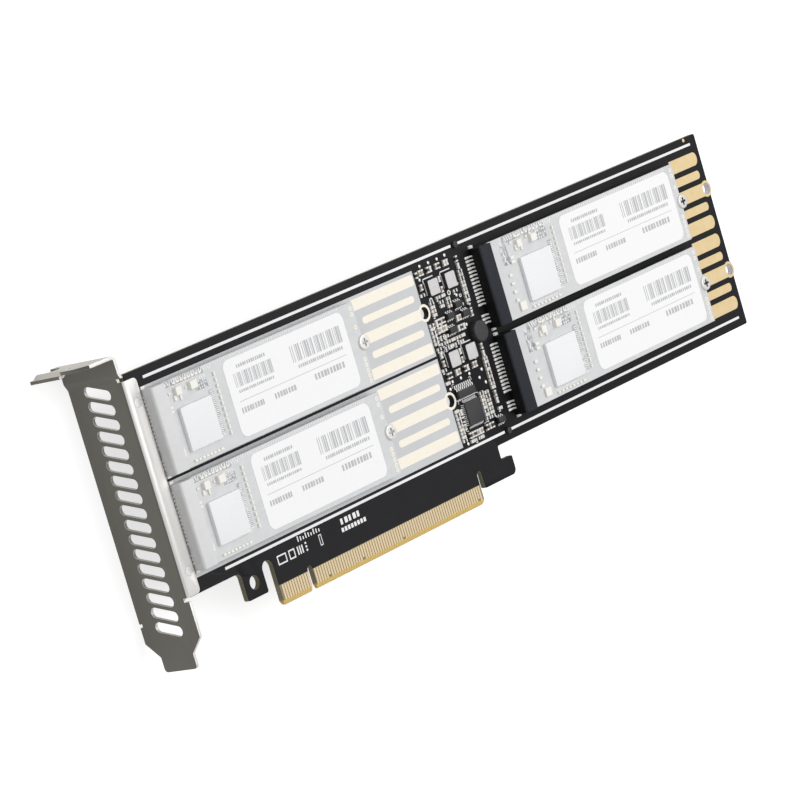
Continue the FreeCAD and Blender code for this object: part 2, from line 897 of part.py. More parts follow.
def ear_cuts():
    # Screw notch on the far side, slit beside the lanced finger and the clipped near corner.
    low = bracket_top - cut_room
    height = 2 * cut_room
    notch_x = bracket_outer - ear_notch_centre
    notch_half = ear_notch_width / 2.0
    notch = plate([
        (notch_x - notch_half, -cut_room, 0), (notch_x + notch_half, -cut_room, 0),
        (notch_x + notch_half, ear_notch_depth, notch_half - 0.01),
        (notch_x - notch_half, ear_notch_depth, notch_half - 0.01),
    ], 0, height)
    notch.rotate(point(0, 0, 0), point(1, 0, 0), 90)
    notch.translate(point(0, low + height, bracket_lowest))
    slit_z = sheet - ear_slit_offset
    outside = ear_end - cut_room
    slit = block(outside, low, slit_z, cut_room + ear_slit_length, height, ear_slit_width)
    above = sheet + cut_room
    clip = Part.Face(Part.makePolygon([
        point(outside, low, above), point(ear_end + ear_chamfer_x, low, above),
        point(ear_end + ear_chamfer_x, low, sheet), point(ear_end, low, sheet - ear_chamfer_z),
        point(outside, low, sheet - ear_chamfer_z), point(outside, low, above),
    ])).extrude(point(0, height, 0))
    return [notch, slit, clip]


def bracket():
    body = bracket_sheet().fuse(bracket_flange())
    body = body.common(bracket_outline())
    finger_room = block(ear_end - cut_room, bracket_top - cut_room, bracket_lowest - cut_room,
                        ear_finger_length + cut_room, 2 * cut_room,
                        bracket_width - ear_slit_offset + cut_room)
    body = body.cut(finger_room).fuse(ear_finger())
    cuts = vent_slots() + ear_cuts() + relief_cuts()
    nick_top = bracket_top - edge_nick_start
    cuts.append(block(bracket_outer - cut_room, nick_top - edge_nick_height, bracket_lowest - cut_room,
                      sheet + 2 * cut_room, edge_nick_height, cut_room + edge_nick_depth))
    for y in bracket_screw_rows:
        cuts.append(disc(bracket_screw_x, y, -cut_room, bracket_screw_radius, 2 * cut_room))
    return body.cut(cuts).removeSplitter()


def relief_cuts():
    cuts = []
    for y in (flange_top, flange_bottom - relief_width):
        cuts.append(block(bracket_outer - cut_room, y, sheet - relief_depth, sheet + 2 * cut_room,
                          relief_width, relief_depth + cut_room))
    return cuts


def bracket_screws():
    # Pan-head screws from the back of the board into the flange.
    screws = []
    back = -board_thickness
    shank_radius = bracket_screw_radius - bracket_screw_play
    for y in bracket_screw_rows:
        shank = disc(bracket_screw_x, y, back, shank_radius, board_thickness + sheet)
        head = disc(bracket_screw_x, y, back - bracket_screw_head_height, bracket_screw_head_radius,
                    bracket_screw_head_height)
        rim = [edge for edge in head.Edges if edge.BoundBox.ZMax < back - bracket_screw_head_height + 0.01]
        head = head.makeFillet(bracket_screw_head_round, rim)
        screws.append(head.fuse(shank).removeSplitter())
    return group(screws)


def pieces():
    parts = {
        "main_board": main_board(),
        "front_contact_fingers": contact_fingers(False, short_front_pins),
        "back_contact_fingers": contact_fingers(True, short_back_pins),
        "slot_bracket": bracket(),
        "bracket_screws": bracket_screws(),
        "drive_standoffs": standoffs(),
        "drive_screws": drive_screws(),
        "plated_hole_rings": hole_rings(),
        "printed_edge_lines": printed_lines(),
        "line_studs": line_studs(),
        "power_inductors": inductors(),
        "inductor_feet": inductor_feet(),
        "clock_chip": clock_chip(),
        "clock_chip_pins": clock_chip_pins(),
        "buffer_chip": buffer_chip(),
        "buffer_chip_pins": buffer_chip_pins(),
        "switch_chips": switch_chips(),
        "switch_chip_pins": switch_chip_pins(),
        "round_capacitor": round_part(),
        "capacitor_bodies": capacitor_bodies(),
        "capacitor_ends": capacitor_ends(),
    }
    middle = (lower_row + upper_row) / 2.0
    parts["lower_left_field"] = left_field(field_bottom, middle - field_gap / 2.0)
    parts["upper_left_field"] = left_field(middle + field_gap / 2.0, field_top)
    for height, row in rows.items():
        for side, rear in socket_rears.items():
            name = height + "_" + side
            level = base_levels[side]
            place = (tips[side], drive_ends[side], row, level)
            parts[name + "_socket"] = socket_housing(rear, row, level)
            parts[name + "_socket_pins"] = socket_tails(side, rear, row, level)
            parts[name + "_heat_pads"] = heat_pads(side, row)
            parts[name + "_drive_board"] = drive_board(*place)
            parts[name + "_drive_controller"] = drive_controller(side, *place)
            parts[name + "_drive_label"] = drive_label(side, *place)
            parts[name + "_drive_small_parts"] = drive_small_parts(side, *place)
    return parts


def main():
    os.makedirs("parts", exist_ok=True)
    parts = pieces()
    box = FreeCAD.BoundBox()
    for shape in parts.values():
        box.add(shape.optimalBoundingBox())
    shift = point(-box.Center.x, -box.Center.y, -box.ZMin)
    for name, shape in parts.items():
        shape.translate(shift)
        shape.exportStep("parts/" + name + ".step")
        print(name, len(shape.Solids), "solids,", round(shape.Volume, 2), "mm3, valid", shape.isValid())
    print("box", [round(size, 3) for size in (box.XLength, box.YLength, box.ZLength)])
    print("shift", [round(value, 4) for value in shift])


main()
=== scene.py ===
import math

import bmesh
import bpy
from mathutils import Matrix, Vector


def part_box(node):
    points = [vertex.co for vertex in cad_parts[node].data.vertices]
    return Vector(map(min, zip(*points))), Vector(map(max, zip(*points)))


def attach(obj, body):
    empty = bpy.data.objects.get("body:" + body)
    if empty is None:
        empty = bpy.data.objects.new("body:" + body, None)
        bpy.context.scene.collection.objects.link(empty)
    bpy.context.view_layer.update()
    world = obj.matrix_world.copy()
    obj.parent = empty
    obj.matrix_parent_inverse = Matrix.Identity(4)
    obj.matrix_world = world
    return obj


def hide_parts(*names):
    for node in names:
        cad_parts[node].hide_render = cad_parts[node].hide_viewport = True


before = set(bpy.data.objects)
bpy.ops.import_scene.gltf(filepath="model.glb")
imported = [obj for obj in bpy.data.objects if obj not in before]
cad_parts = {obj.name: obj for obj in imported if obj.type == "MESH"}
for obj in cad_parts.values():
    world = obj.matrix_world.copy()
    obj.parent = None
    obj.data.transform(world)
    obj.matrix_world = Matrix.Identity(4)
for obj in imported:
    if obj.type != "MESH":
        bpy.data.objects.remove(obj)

bl_info = {
    "name": "Adapter card for drives",
    "version": (1, 0, 0),
    "blender": (4, 5, 0),
    "location": "3D View > Sidebar > Adapter Card",
    "description": "Dresses the packed adapter card and sets its studio",
    "category": "Add Mesh",
}

MM = 0.001
DRIVES = ("lower_left", "upper_left", "lower_right", "upper_right")
WHITE = (1.0, 1.0, 1.0, 1.0)
# The card's origin lies this far in from the board's near end, at its lower edge and on its face.
ORIGIN_IN = 31.7 * MM
board_low, board_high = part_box("main_board")
card_origin = Vector((board_low.x + ORIGIN_IN, board_low.y, board_high.z))
# The two pairs of drives meet here, in card millimetres.
CARD_MIDDLE = 100.0
# Above the card's lower edge: the top of the contacts' bevel, and the edge of the lacquer.
BEVEL_HEIGHT = 1.3 * MM
BEVEL_BLEND = 0.15 * MM
MASK_EDGE = 5.2 * MM
# Two heights closer than this are the same.
FLAT = 0.0001 * MM
# The bands of a wave node of scale 1 repeat at this distance.
WAVE_PERIOD = math.pi / 10


def linear(colour):
    """Linear RGBA from an sRGB hex code. A colour from the settings is linear already."""
    if not isinstance(colour, str):
        return tuple(colour)
    shares = [int(colour[index:index + 2], 16) / 255 for index in (0, 2, 4)]
    return tuple(share / 12.92 if share <= 0.04045 else ((share + 0.055) / 1.055) ** 2.4
                 for share in shares) + (1.0,)


def place(x, y, z=0.0):
    """Point in the frame from card millimetres: x from the fingers, y up the card, z off it."""
    return card_origin + Vector((x, y, z)) * MM


def right_half(spot):
    """Tells whether a point lies on the half of the card away from the bracket."""
    return spot.x > place(CARD_MIDDLE, 0).x


# Settings

def colour_setting(name, description, code):
    """A colour that a user can change."""
    return bpy.props.FloatVectorProperty(name=name, description=description, size=4,
                                         default=linear(code), min=0.0, max=1.0, subtype="COLOR")


def length_setting(name, description, millimetres):
    """A length that a user can change."""
    return bpy.props.FloatProperty(name=name, description=description, default=millimetres * MM,
                                   min=0.0, unit="LENGTH")


class CardSettings(bpy.types.PropertyGroup):
    edge_softness: length_setting("Edge softness", "Rounding of punched and moulded edges", 0.08)
    sheet_softness: length_setting("Sheet softness", "Rounding of the bracket's sheared edges", 0.2)
    print_height: length_setting("Print height", "Height of the marks on board and labels", 0.02)
    mask_colour: colour_setting("Solder mask", "Colour of the board's lacquer", "131316")
    # The bracket's face takes this steel, darkened as painted shade; the flange's top and the
    # sheared edges take the next, the same plating lightened as a painted highlight.
    steel_shade_colour: colour_setting("Bracket steel", "Colour of the plated bracket", "706E66")
    steel_highlight_colour: colour_setting("Steel highlight", "Colour of the flange and sheared edges",
                                      "F1EFEC")
    gold_colour: colour_setting("Contact gold", "Colour of the edge contacts", "E6CFA6")
    drive_colour: colour_setting("Drive lacquer", "Colour of the drives' boards", "DEDFE0")


class StageSettings(bpy.types.PropertyGroup):
    floor_colour: colour_setting("Floor", "Colour of the studio floor", "C0C0C0")
    key_power: bpy.props.FloatProperty(
        name="Key light", description="Power of the large light above the card's far end",
        default=7.1, min=0.0, unit="POWER")
    fill_power: bpy.props.FloatProperty(
        name="Fill light", description="Power of the small light above the bracket",
        default=1.4, min=0.0, unit="POWER")
    lens: bpy.props.FloatProperty(
        name="Lens", description="Focal length of the camera",
        default=190.48, min=1.0, unit="CAMERA")


# Materials

def add_node(tree, kind, links=None, **settings):
    """Adds a node, sets its own fields or its inputs, and links its inputs from other sockets."""
    made = tree.nodes.new("ShaderNode" + kind)
    for name, value in settings.items():
        if hasattr(made, name):
            setattr(made, name, value)
        else:
            made.inputs[name.replace("_", " ")].default_value = value
    for name, source in (links or {}).items():
        tree.links.new(source, made.inputs[name])
    return made


def finish(name, colour, roughness, metallic=0.0, specular=0.5, shade=(), rough=(), bump=()):
    """Material whose colour, roughness and relief each follow a pattern, made once for each name.

    A pattern is a function of a node tree and its object coordinates. Shade is a pattern and two
    colours, rough a pattern and two values, and bump a pattern, its strength and its depth in
    millimetres.
    """
    if name in bpy.data.materials:
        return bpy.data.materials[name]
    material = bpy.data.materials.new(name)
    material.use_nodes = True
    material.diffuse_color = linear(colour)
    tree = material.node_tree
    shader = tree.nodes["Principled BSDF"]
    shader.inputs["Base Color"].default_value = linear(colour)
    shader.inputs["Roughness"].default_value = roughness
    shader.inputs["Metallic"].default_value = metallic
    shader.inputs["Specular IOR Level"].default_value = specular
    where = add_node(tree, "TexCoord").outputs["Object"]
    if shade:
        pattern, low, high = shade
        mixed = add_node(tree, "Mix", {"Factor": pattern(tree, where)}, data_type="RGBA")
        mixed.inputs[6].default_value = linear(low)
        mixed.inputs[7].default_value = linear(high)
        tree.links.new(mixed.outputs[2], shader.inputs["Base Color"])
    if rough:
        pattern, low, high = rough
        span = add_node(tree, "MapRange", {"Value": pattern(tree, where)}, To_Min=low, To_Max=high)
        tree.links.new(span.outputs["Result"], shader.inputs["Roughness"])
    if bump:
        pattern, strength, depth = bump
        relief = add_node(tree, "Bump", {"Height": pattern(tree, where)},
                          Strength=strength, Distance=depth * MM)
        tree.links.new(relief.outputs["Normal"], shader.inputs["Normal"])
    return material


def grain(size, stretch=(1.0, 1.0, 1.0)):
    """Pattern of noise with a grain of a real size in millimetres, drawn out where asked."""
    def laid(tree, where):
        turned = add_node(tree, "Mapping", {"Vector": where}, Scale=stretch)
        noise = add_node(tree, "TexNoise", {"Vector": turned.outputs["Vector"]},
                         Scale=1.0 / (size * MM), Detail=3.0)
        return noise.outputs["Fac"]
    return laid


def ridges(pitch, direction):
    """Pattern of parallel ridges at a real pitch in millimetres."""
    def laid(tree, where):
        wave = add_node(tree, "TexWave", {"Vector": where}, bands_direction=direction,
                        Scale=WAVE_PERIOD / (pitch * MM), Distortion=0.6, Detail=1.0)
        return wave.outputs["Fac"]
    return laid


def woven_glass(tree, where):
    """Pattern of crossed threads, 0.9 mm apart: about twice their real pitch, so that they show."""
    warp = ridges(0.9, "X")(tree, where)
    weft = ridges(0.9, "Y")(tree, where)
    return add_node(tree, "Math", {0: warp, 1: weft}, operation="MULTIPLY").outputs["Value"]


def above_bevel(tree, where):
    """Pattern that is 0 on the bevel under the contacts and 1 on the flat face above it."""
    parted = add_node(tree, "SeparateXYZ", {"Vector": where})
    middle = card_origin.y + BEVEL_HEIGHT
    span = add_node(tree, "MapRange", {"Value": parted.outputs["Y"]},
                    From_Min=middle - BEVEL_BLEND, From_Max=middle + BEVEL_BLEND)
    return span.outputs["Result"]


def shade_patches(tree, where):
    """Pattern of clear-cut patches of painted shade, drawn out across the drive."""
    web = grain(0.7, (1.0, 0.5, 1.0))(tree, where)
    return add_node(tree, "MapRange", {"Value": web}, From_Min=0.4, From_Max=0.6).outputs["Result"]


def toned(colour, factor, lift=0.0):
    """Colour made darker or lighter."""
    return tuple(min(1.0, share * factor + lift) for share in linear(colour)[:3]) + (1.0,)


def epoxy_solder_mask(settings):
    # Black epoxy lacquer over woven glass: low gloss, and the cloth under it prints through.
    colour = settings.mask_colour
    return finish("epoxy_solder_mask", colour, 0.48, specular=0.18,
                  shade=(grain(6.0), colour, toned(colour, 1.5, 0.002)),
                  rough=(grain(1.2), 0.44, 0.56), bump=(woven_glass, 0.15, 0.02))


def cut_glass_laminate():
    # Milled edge of glass-fibre laminate: dull olive, with the cloth layers as fine lines.
    # They are drawn 0.3 mm apart, wider than they lie, so that they show.
    return finish("cut_glass_laminate", "7E7960", 0.7,
                  shade=(ridges(0.3, "Z"), "66614A", "96917A"), bump=(grain(0.15), 0.3, 0.03))


def pale_laminate_edge():
    # Milled edge of a thin pale laminate: light grey, with the cloth layers as fine lines.
    return finish("pale_laminate_edge", "DCDCDA", 0.65,
                  shade=(ridges(0.2, "Z"), "D2D2D0", "E8E8E6"))


def bare_laminate():
    # Bare glass-fibre laminate round the contacts: dull olive grey, honey colour on the bevel.
    olive = "8C826C"
    return finish("bare_laminate", olive, 0.5, shade=(above_bevel, "DDBB6A", olive),
                  bump=(grain(0.15), 0.2, 0.02))


def hard_gold_plating(settings):
    # Hard gold on the edge contacts: warm, satin, with fine wipe lines along the insertion.
    # It looks deeper in colour on the bevel.
    gold = settings.gold_colour
    wipes = grain(0.2, (1.0, 0.04, 1.0))
    return finish("hard_gold_plating", gold, 0.4, 0.3, shade=(above_bevel, "EACB7C", gold),
                  rough=(wipes, 0.34, 0.5), bump=(wipes, 0.1, 0.01))


def immersion_gold_pad():
    # Thin immersion gold on bare copper: pale, matt, slightly cloudy.
    return finish("immersion_gold_pad", "EDD3A0", 0.45, 0.35,
                  shade=(grain(2.5), "E6C98F", "F3DEB4"),
                  rough=(grain(0.3, (0.1, 1.0, 1.0)), 0.38, 0.55))


def tinned_copper_pad():
    # Tinned copper strips that look cream: matt, with a soft cloud.
    return finish("tinned_copper_pad", "FAF4E6", 0.55, 0.1,
                  shade=(grain(2.5), "F7EFDD", "FCF7EC"), rough=(grain(0.4), 0.5, 0.65))


def white_solder_mask():
    # White epoxy field printed over the board: pale grey, even, low gloss.
    return finish("white_solder_mask", "CBCCCE", 0.55,
                  shade=(grain(8.0), "C7C8CA", "D1D2D4"), bump=(grain(0.25), 0.1, 0.01))


def plated_hole_wall_painted_light():
    # Tin on copper inside a drilled hole: pale, cool grey, slightly cloudy; its near-white colour
    # is painted light against the shade in the hole.
    return finish("plated_hole_wall_painted_light", "F0F0F6", 0.45, 0.2,
                  shade=(grain(0.6), "E0E0E8", "F4F4FA"))


def screen_print_ink():
    # White legend ink, screen printed: matt, with slightly uneven cover.
    return finish("screen_print_ink", "F4F4F4", 0.7,
                  shade=(grain(0.3), "ECECEC", "FAFAFA"), bump=(grain(0.12), 0.2, 0.01))


def nickel_plated_steel(name, colour):
    # Mild steel strip, rolled, punched and nickel plated: satin, with rolling lines up the bracket.
    rolling = grain(0.25, (1.0, 0.03, 1.0))
    return finish(name, colour, 0.48, 0.5, shade=(rolling, toned(colour, 0.86), colour),
                  rough=(rolling, 0.42, 0.58), bump=(rolling, 0.12, 0.01))


def bright_screw_steel():
    # Cold-headed steel screw with a bright plating: turned sheen on the head.
    return finish("bright_screw_steel", "EBEAE7", 0.35, 0.5, rough=(grain(0.2), 0.28, 0.45),
                  bump=(grain(0.1), 0.08, 0.01))


def recess_painted_shade(name, dark, light):
    # Cross recess punched into the screw's head, coloured darker than the head as painted shade in
    # the hollow.
    return finish(name, dark, 0.6, 0.3, shade=(grain(0.2), dark, light))


def turned_brass():
    # Turned brass pillar: warm, with fine rings from the tool.
    rings = ridges(0.12, "Z")
    return finish("turned_brass", "C9A860", 0.3, 1.0, rough=(rings, 0.25, 0.4),
                  bump=(rings, 0.15, 0.01))


def moulded_nylon(name, dark, light):
    # Glass-filled nylon, injection moulded: matt, with a fine spark-eroded skin.
    return finish(name, dark, 0.6, specular=0.25, shade=(grain(1.5), dark, light),
                  rough=(grain(0.4), 0.52, 0.7), bump=(grain(0.12), 0.25, 0.02))


def moulded_epoxy(name, dark, light):
    # Moulded epoxy package, or pressed ferrite: dull, with fine grit from the mould.
    return finish(name, dark, 0.6, shade=(grain(0.8), dark, light), rough=(grain(0.3), 0.5, 0.7),
                  bump=(grain(0.08), 0.3, 0.01))


def tinned_copper():
    # Tinned copper leads and end caps: bright grey, slightly frosted where the solder has flowed.
    frost = grain(0.25)
    return finish("tinned_copper", "F0F0EE", 0.4, 0.35,
                  shade=(frost, "E2E2DF", "FAFAF9"), rough=(frost, 0.28, 0.5))


def flowed_solder():
    # Tin solder as it set from the melt: near white, soft gloss.
    return finish("flowed_solder", "F4F4F2", 0.35, 0.15,
                  shade=(grain(0.3), "E6E6E3", "FBFBFA"))


def fired_ceramic(name, dark, light):
    # Fired ceramic body of a small soldered part: matt, with a faint speckle.
    return finish(name, dark, 0.5, shade=(grain(0.15), dark, light), bump=(grain(0.1), 0.2, 0.01))


def drive_lacquer(settings):
    # Pale solder mask on the drive's thin board: satin, with the copper just showing as a cloud.
    colour = settings.drive_colour
    copper = grain(1.8, (0.6, 1.0, 1.0))
    return finish("drive_lacquer", colour, 0.5, shade=(copper, toned(colour, 0.84), colour),
                  rough=(grain(0.5), 0.42, 0.58), bump=(copper, 0.1, 0.01))


def lacquer_painted_shade():
    # Pale grey lacquer in clear-cut patches behind the drives' solder joints, as painted shade.
    return finish("lacquer_painted_shade", "BEC0C2", 0.5,
                  shade=(shade_patches, "9A9D9F", "CCCED0"))


def coated_label_paper():
    # Coated self-adhesive paper: white, matt, with a faint fibre.
    fibre = grain(0.4, (0.3, 1.0, 1.0))
    return finish("coated_label_paper", "F7F7F7", 0.6,
                  shade=(fibre, "F4F4F4", "FAFAFA"), bump=(fibre, 0.1, 0.01))


def thermal_print():
    # Thermal print on the label: soft grey, a little uneven.
    return finish("thermal_print", "BEBFC1", 0.7,
                  shade=(grain(0.2), "B2B3B5", "CCCDCF"))


# Mesh tools

def added(bm, name, materials):
    """Turns a bmesh into an object of the scene."""
    mesh = bpy.data.meshes.new(name)
    bm.to_mesh(mesh)
    bm.free()
    for material in materials:
        mesh.materials.append(material)
    made = bpy.data.objects.new(name, mesh)
    bpy.context.scene.collection.objects.link(made)
    return made


def finished(bm, name, materials, replaced=()):
    """Turns a bmesh into a piece that rides on the card."""
    piece = added(bm, name, materials)
    for face in piece.data.polygons:
        face.use_smooth = True
    piece.data.set_sharp_from_angle(angle=math.radians(35))
    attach(piece, "root")
    if replaced:
        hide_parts(*replaced)


def node_copy(name):
    """Closed copy of a CAD node's mesh, with its flat faces joined."""
    bm = bmesh.new()
    bm.from_mesh(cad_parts[name].data)
    bmesh.ops.remove_doubles(bm, verts=bm.verts, dist=0.000002)
    bmesh.ops.dissolve_limit(bm, angle_limit=math.radians(0.5), verts=bm.verts, edges=bm.edges)
    return bm


def round_off(bm, edges, width, segments):
    """Rounds some edges, and returns the faces of the rounding."""
    made = bmesh.ops.bevel(bm, geom=list(edges), offset=width, offset_type="OFFSET", affect="EDGES",
                           segments=segments, profile=0.5, material=-1, clamp_overlap=True)
    return made["faces"]


def soften(bm, width, segments=2):
    """Rounds every edge that turns by more than 40 degrees."""
    sharp = [edge for edge in bm.edges
             if len(edge.link_faces) == 2 and edge.calc_face_angle(0.0) > math.radians(40)]
    return round_off(bm, sharp, width, segments)


def islands(bm):
    """Sets of faces that hang together, one for each separate body."""
    seen = set()
    bodies = []
    for start in bm.verts:
        if start in seen:
            continue
        heap = [start]
        faces = set()
        while heap:
            vert = heap.pop()
            if vert in seen:
                continue
            seen.add(vert)
            faces.update(vert.link_faces)
            heap += [edge.other_vert(vert) for edge in vert.link_edges]
        bodies.append(faces)
    return bodies


def upright(face):
    """Tells whether a face stands nearer to upright than to flat."""
    return abs(face.normal.z) < 0.5


def side_faces_to(bm, index):
    """Gives the faces that stand upright another material."""
    bm.normal_update()
    for face in bm.faces:
        if upright(face):
            face.material_index = index


def add_box(bm, low, high):
    """Adds one box between two corners, and returns its faces."""
    middle = (Vector(low) + Vector(high)) / 2
    size = Vector(high) - Vector(low)
    placed = Matrix.Translation(middle) @ Matrix.Diagonal((*size, 1.0))
    made = bmesh.ops.create_cube(bm, size=1.0, matrix=placed)
    return {face for vert in made["verts"] for face in vert.link_faces}


def add_ring(bm, middle, inner, outer, height, segments=20):
    """Adds a flat raised ring."""
    top = Matrix.Translation(middle + Vector((0, 0, height)))
    edges = []
    for radius in (inner, outer):
        loop = bmesh.ops.create_circle(bm, cap_ends=False, radius=radius, segments=segments,
                                       matrix=top)
        edges += {edge for vert in loop["verts"] for edge in vert.link_edges}
    bridged = bmesh.ops.bridge_loops(bm, edges=edges)
    grown = bmesh.ops.extrude_face_region(bm, geom=bridged["faces"])
    below = [item for item in grown["geom"] if isinstance(item, bmesh.types.BMVert)]
    bmesh.ops.translate(bm, verts=below, vec=(0, 0, -height))


def corners(faces):
    """Lowest and highest corner of the box round a set of faces."""
    spots = [vert.co for face in faces for vert in face.verts]
    return (Vector([min(spot[axis] for spot in spots) for axis in range(3)]),
            Vector([max(spot[axis] for spot in spots) for axis in range(3)]))


def softened_copy(node, name, materials, softness, segments=2):
    """Copy of a CAD node with softened edges. A second material goes on its sides."""
    bm = node_copy(node)
    soften(bm, softness, segments)
    if len(materials) > 1:
        side_faces_to(bm, 1)
    finished(bm, name, materials, [node])


def dress(names, material):
    """Gives kept CAD nodes their material."""
    for name in names:
        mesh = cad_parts[name].data
        mesh.materials.clear()
        mesh.materials.append(material)


# Pieces

class CARD_OT_board(bpy.types.Operator):
    """Main board with its lacquer and its milled edge"""
    bl_idname = "adapter_card.board"
    bl_label = "Main board"

    # How far the bare laminate reaches past the contacts, and a hole's wall from its middle.
    bare_left = 1.0 * MM
    bare_right = 0.6 * MM
    hole_reach = 1.8 * MM

    def execute(self, context):
        settings = context.scene.adapter_card
        bm = node_copy("main_board")
        soften(bm, settings.edge_softness, segments=1)
        side_faces_to(bm, 1)
        low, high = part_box("front_contact_fingers")
        left = low.x - self.bare_left
        right = high.x + self.bare_right
        top = card_origin.y + MASK_EDGE
        for spot, direction in (((0, top, 0), (0, 1, 0)), ((right, 0, 0), (1, 0, 0))):
            bmesh.ops.bisect_plane(bm, geom=bm.verts[:] + bm.edges[:] + bm.faces[:],
                                   plane_co=spot, plane_no=direction)
        for face in bm.faces:
            middle = face.calc_center_median()
            if middle.y < top and left < middle.x < right:
                face.material_index = 2
        self.hole_walls(bm)
        skins = [epoxy_solder_mask(settings), cut_glass_laminate(), bare_laminate(),
                 plated_hole_wall_painted_light()]
        finished(bm, "board_laminate", skins, ["main_board"])
        return {"FINISHED"}

    def hole_walls(self, bm):
        """Walls of the far holes: tinned at the right, with painted light on the tin, and filled
        with lacquer at the left.
        """
        source = node_copy("plated_hole_rings")
        for faces in islands(source):
            low, high = corners(faces)
            middle = ((low + high) / 2).xy
            for face in bm.faces:
                near = (face.calc_center_median().xy - middle).length < self.hole_reach
                if near and upright(face):
                    face.material_index = 3 if right_half(middle) else 0
        source.free()


class CARD_OT_contacts(bpy.types.Operator):
    """Edge contacts, copper strips, rings and printed fields"""
    bl_idname = "adapter_card.contacts"
    bl_label = "Contacts and fields"

    def execute(self, context):
        settings = context.scene.adapter_card
        dress(["front_contact_fingers", "back_contact_fingers"], hard_gold_plating(settings))
        pad = immersion_gold_pad()
        dress(["lower_right_heat_pads", "upper_right_heat_pads"], pad)
        tinned = tinned_copper_pad()
        bm = node_copy("plated_hole_rings")
        for face in bm.faces:
            face.material_index = 1 if right_half(face.calc_center_median()) else 0
        finished(bm, "far_hole_rings", [tinned, pad], ["plated_hole_rings"])
        for name in ("lower_left", "upper_left"):
            self.tinned_strips(name, tinned)
        dress(["lower_left_field", "upper_left_field"], white_solder_mask())
        dress(["printed_edge_lines"], screen_print_ink())
        self.strip_covers("left", white_solder_mask(), "white_print")
        self.strip_covers("right", epoxy_solder_mask(settings), "solder_mask")
        return {"FINISHED"}

    # The left strips: their widths, their pitch, how far the narrow ones start past the drive,
    # how far each kind ends past the solids' strips, and the rounding of the wide ones.
    wide = 2.9 * MM
    narrow = 1.86 * MM
    strip_pitch = 4.65 * MM
    narrow_start = 5.3 * MM
    narrow_end = -1.3 * MM
    wide_end = 0.4 * MM
    middle_end = -0.7 * MM
    wide_rounding = 0.6 * MM

    def tinned_strips(self, name, tinned):
        """Wide strips from under the drive's end, and between them narrow round-ended ones."""
        low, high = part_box(name + "_heat_pads")
        drive_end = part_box(name + "_drive_board")[1].x
        middle = (low.y + high.y) / 2
        bm = bmesh.new()
        for index in range(-2, 3):
            y = middle + index * self.strip_pitch
            if index % 2:
                half = self.narrow / 2
                start, end = drive_end + self.narrow_start, high.x + self.narrow_end
                rounding = half * 0.96
            else:
                half = self.wide / 2
                start, end = low.x, high.x + (self.wide_end if index else self.middle_end)
                rounding = self.wide_rounding
            faces = add_box(bm, (start, y - half, low.z), (end, y + half, high.z))
            edges = {edge for face in faces for edge in face.edges
                     if abs(edge.verts[0].co.z - edge.verts[1].co.z) > FLAT}
            if index:
                round_off(bm, edges, rounding, 8)
        finished(bm, name + "_tinned_strips", [tinned], [name + "_heat_pads"])

    # Lacquer over the strips: its height, how far it laps over their edges and under the drive,
    # and how far it runs past the drive at the uppermost strip's corner.
    cover_height = 0.015 * MM
    lap = 0.05 * MM
    under_drive = 0.5 * MM
    corner_depth = 0.6 * MM
    corner_reach = 2.9 * MM

    def strip_covers(self, side, lacquer, slot):
        """Lacquer over the starts of the outer strips and the uppermost one's upper corner."""
        bm = bmesh.new()
        for row in ("lower_", "upper_"):
            low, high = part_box(row + side + "_heat_pads")
            drive_low, drive_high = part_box(row + side + "_drive_board")
            start = low.x - 2 * self.lap
            top = high.z + self.cover_height
            add_box(bm, (start, low.y - self.lap, low.z),
                    (drive_high.x - self.lap, drive_low.y + self.under_drive, top))
            add_box(bm, (start, drive_high.y - self.corner_depth, low.z),
                    (drive_high.x + self.corner_reach, high.y + self.lap, top))
        finished(bm, side + "_strip_covers", [lacquer])


class CARD_OT_bracket(bpy.types.Operator):
    """Folded slot bracket with softened sheared edges"""
    bl_idname = "adapter_card.bracket"
    bl_label = "Slot bracket"

    # Share of a face's normal from which it counts as facing that way.
    facing = 0.6

    def execute(self, context):
        settings = context.scene.adapter_card
        bm = node_copy("slot_bracket")
        # The rounded sheared edges take the light steel as a painted highlight.
        for face in soften(bm, settings.sheet_softness):
            face.material_index = 1
        bm.normal_update()
        # Upward faces take the same painted highlight, faces that look along the card's height a
        # lighter copy as painted light, and the rest the dark steel as painted shade.
        for face in bm.faces:
            if face.normal.z > self.facing:
                face.material_index = 1
            elif abs(face.normal.y) > self.facing:
                face.material_index = 2
        steel = nickel_plated_steel("nickel_plated_steel", settings.steel_shade_colour)
        lit_steel = nickel_plated_steel("nickel_plated_steel_painted_highlight", settings.steel_highlight_colour)
        ear = nickel_plated_steel("nickel_plated_steel_painted_light", "CFCBC3")
        finished(bm, "folded_bracket", [steel, lit_steel, ear], ["slot_bracket"])
        return {"FINISHED"}


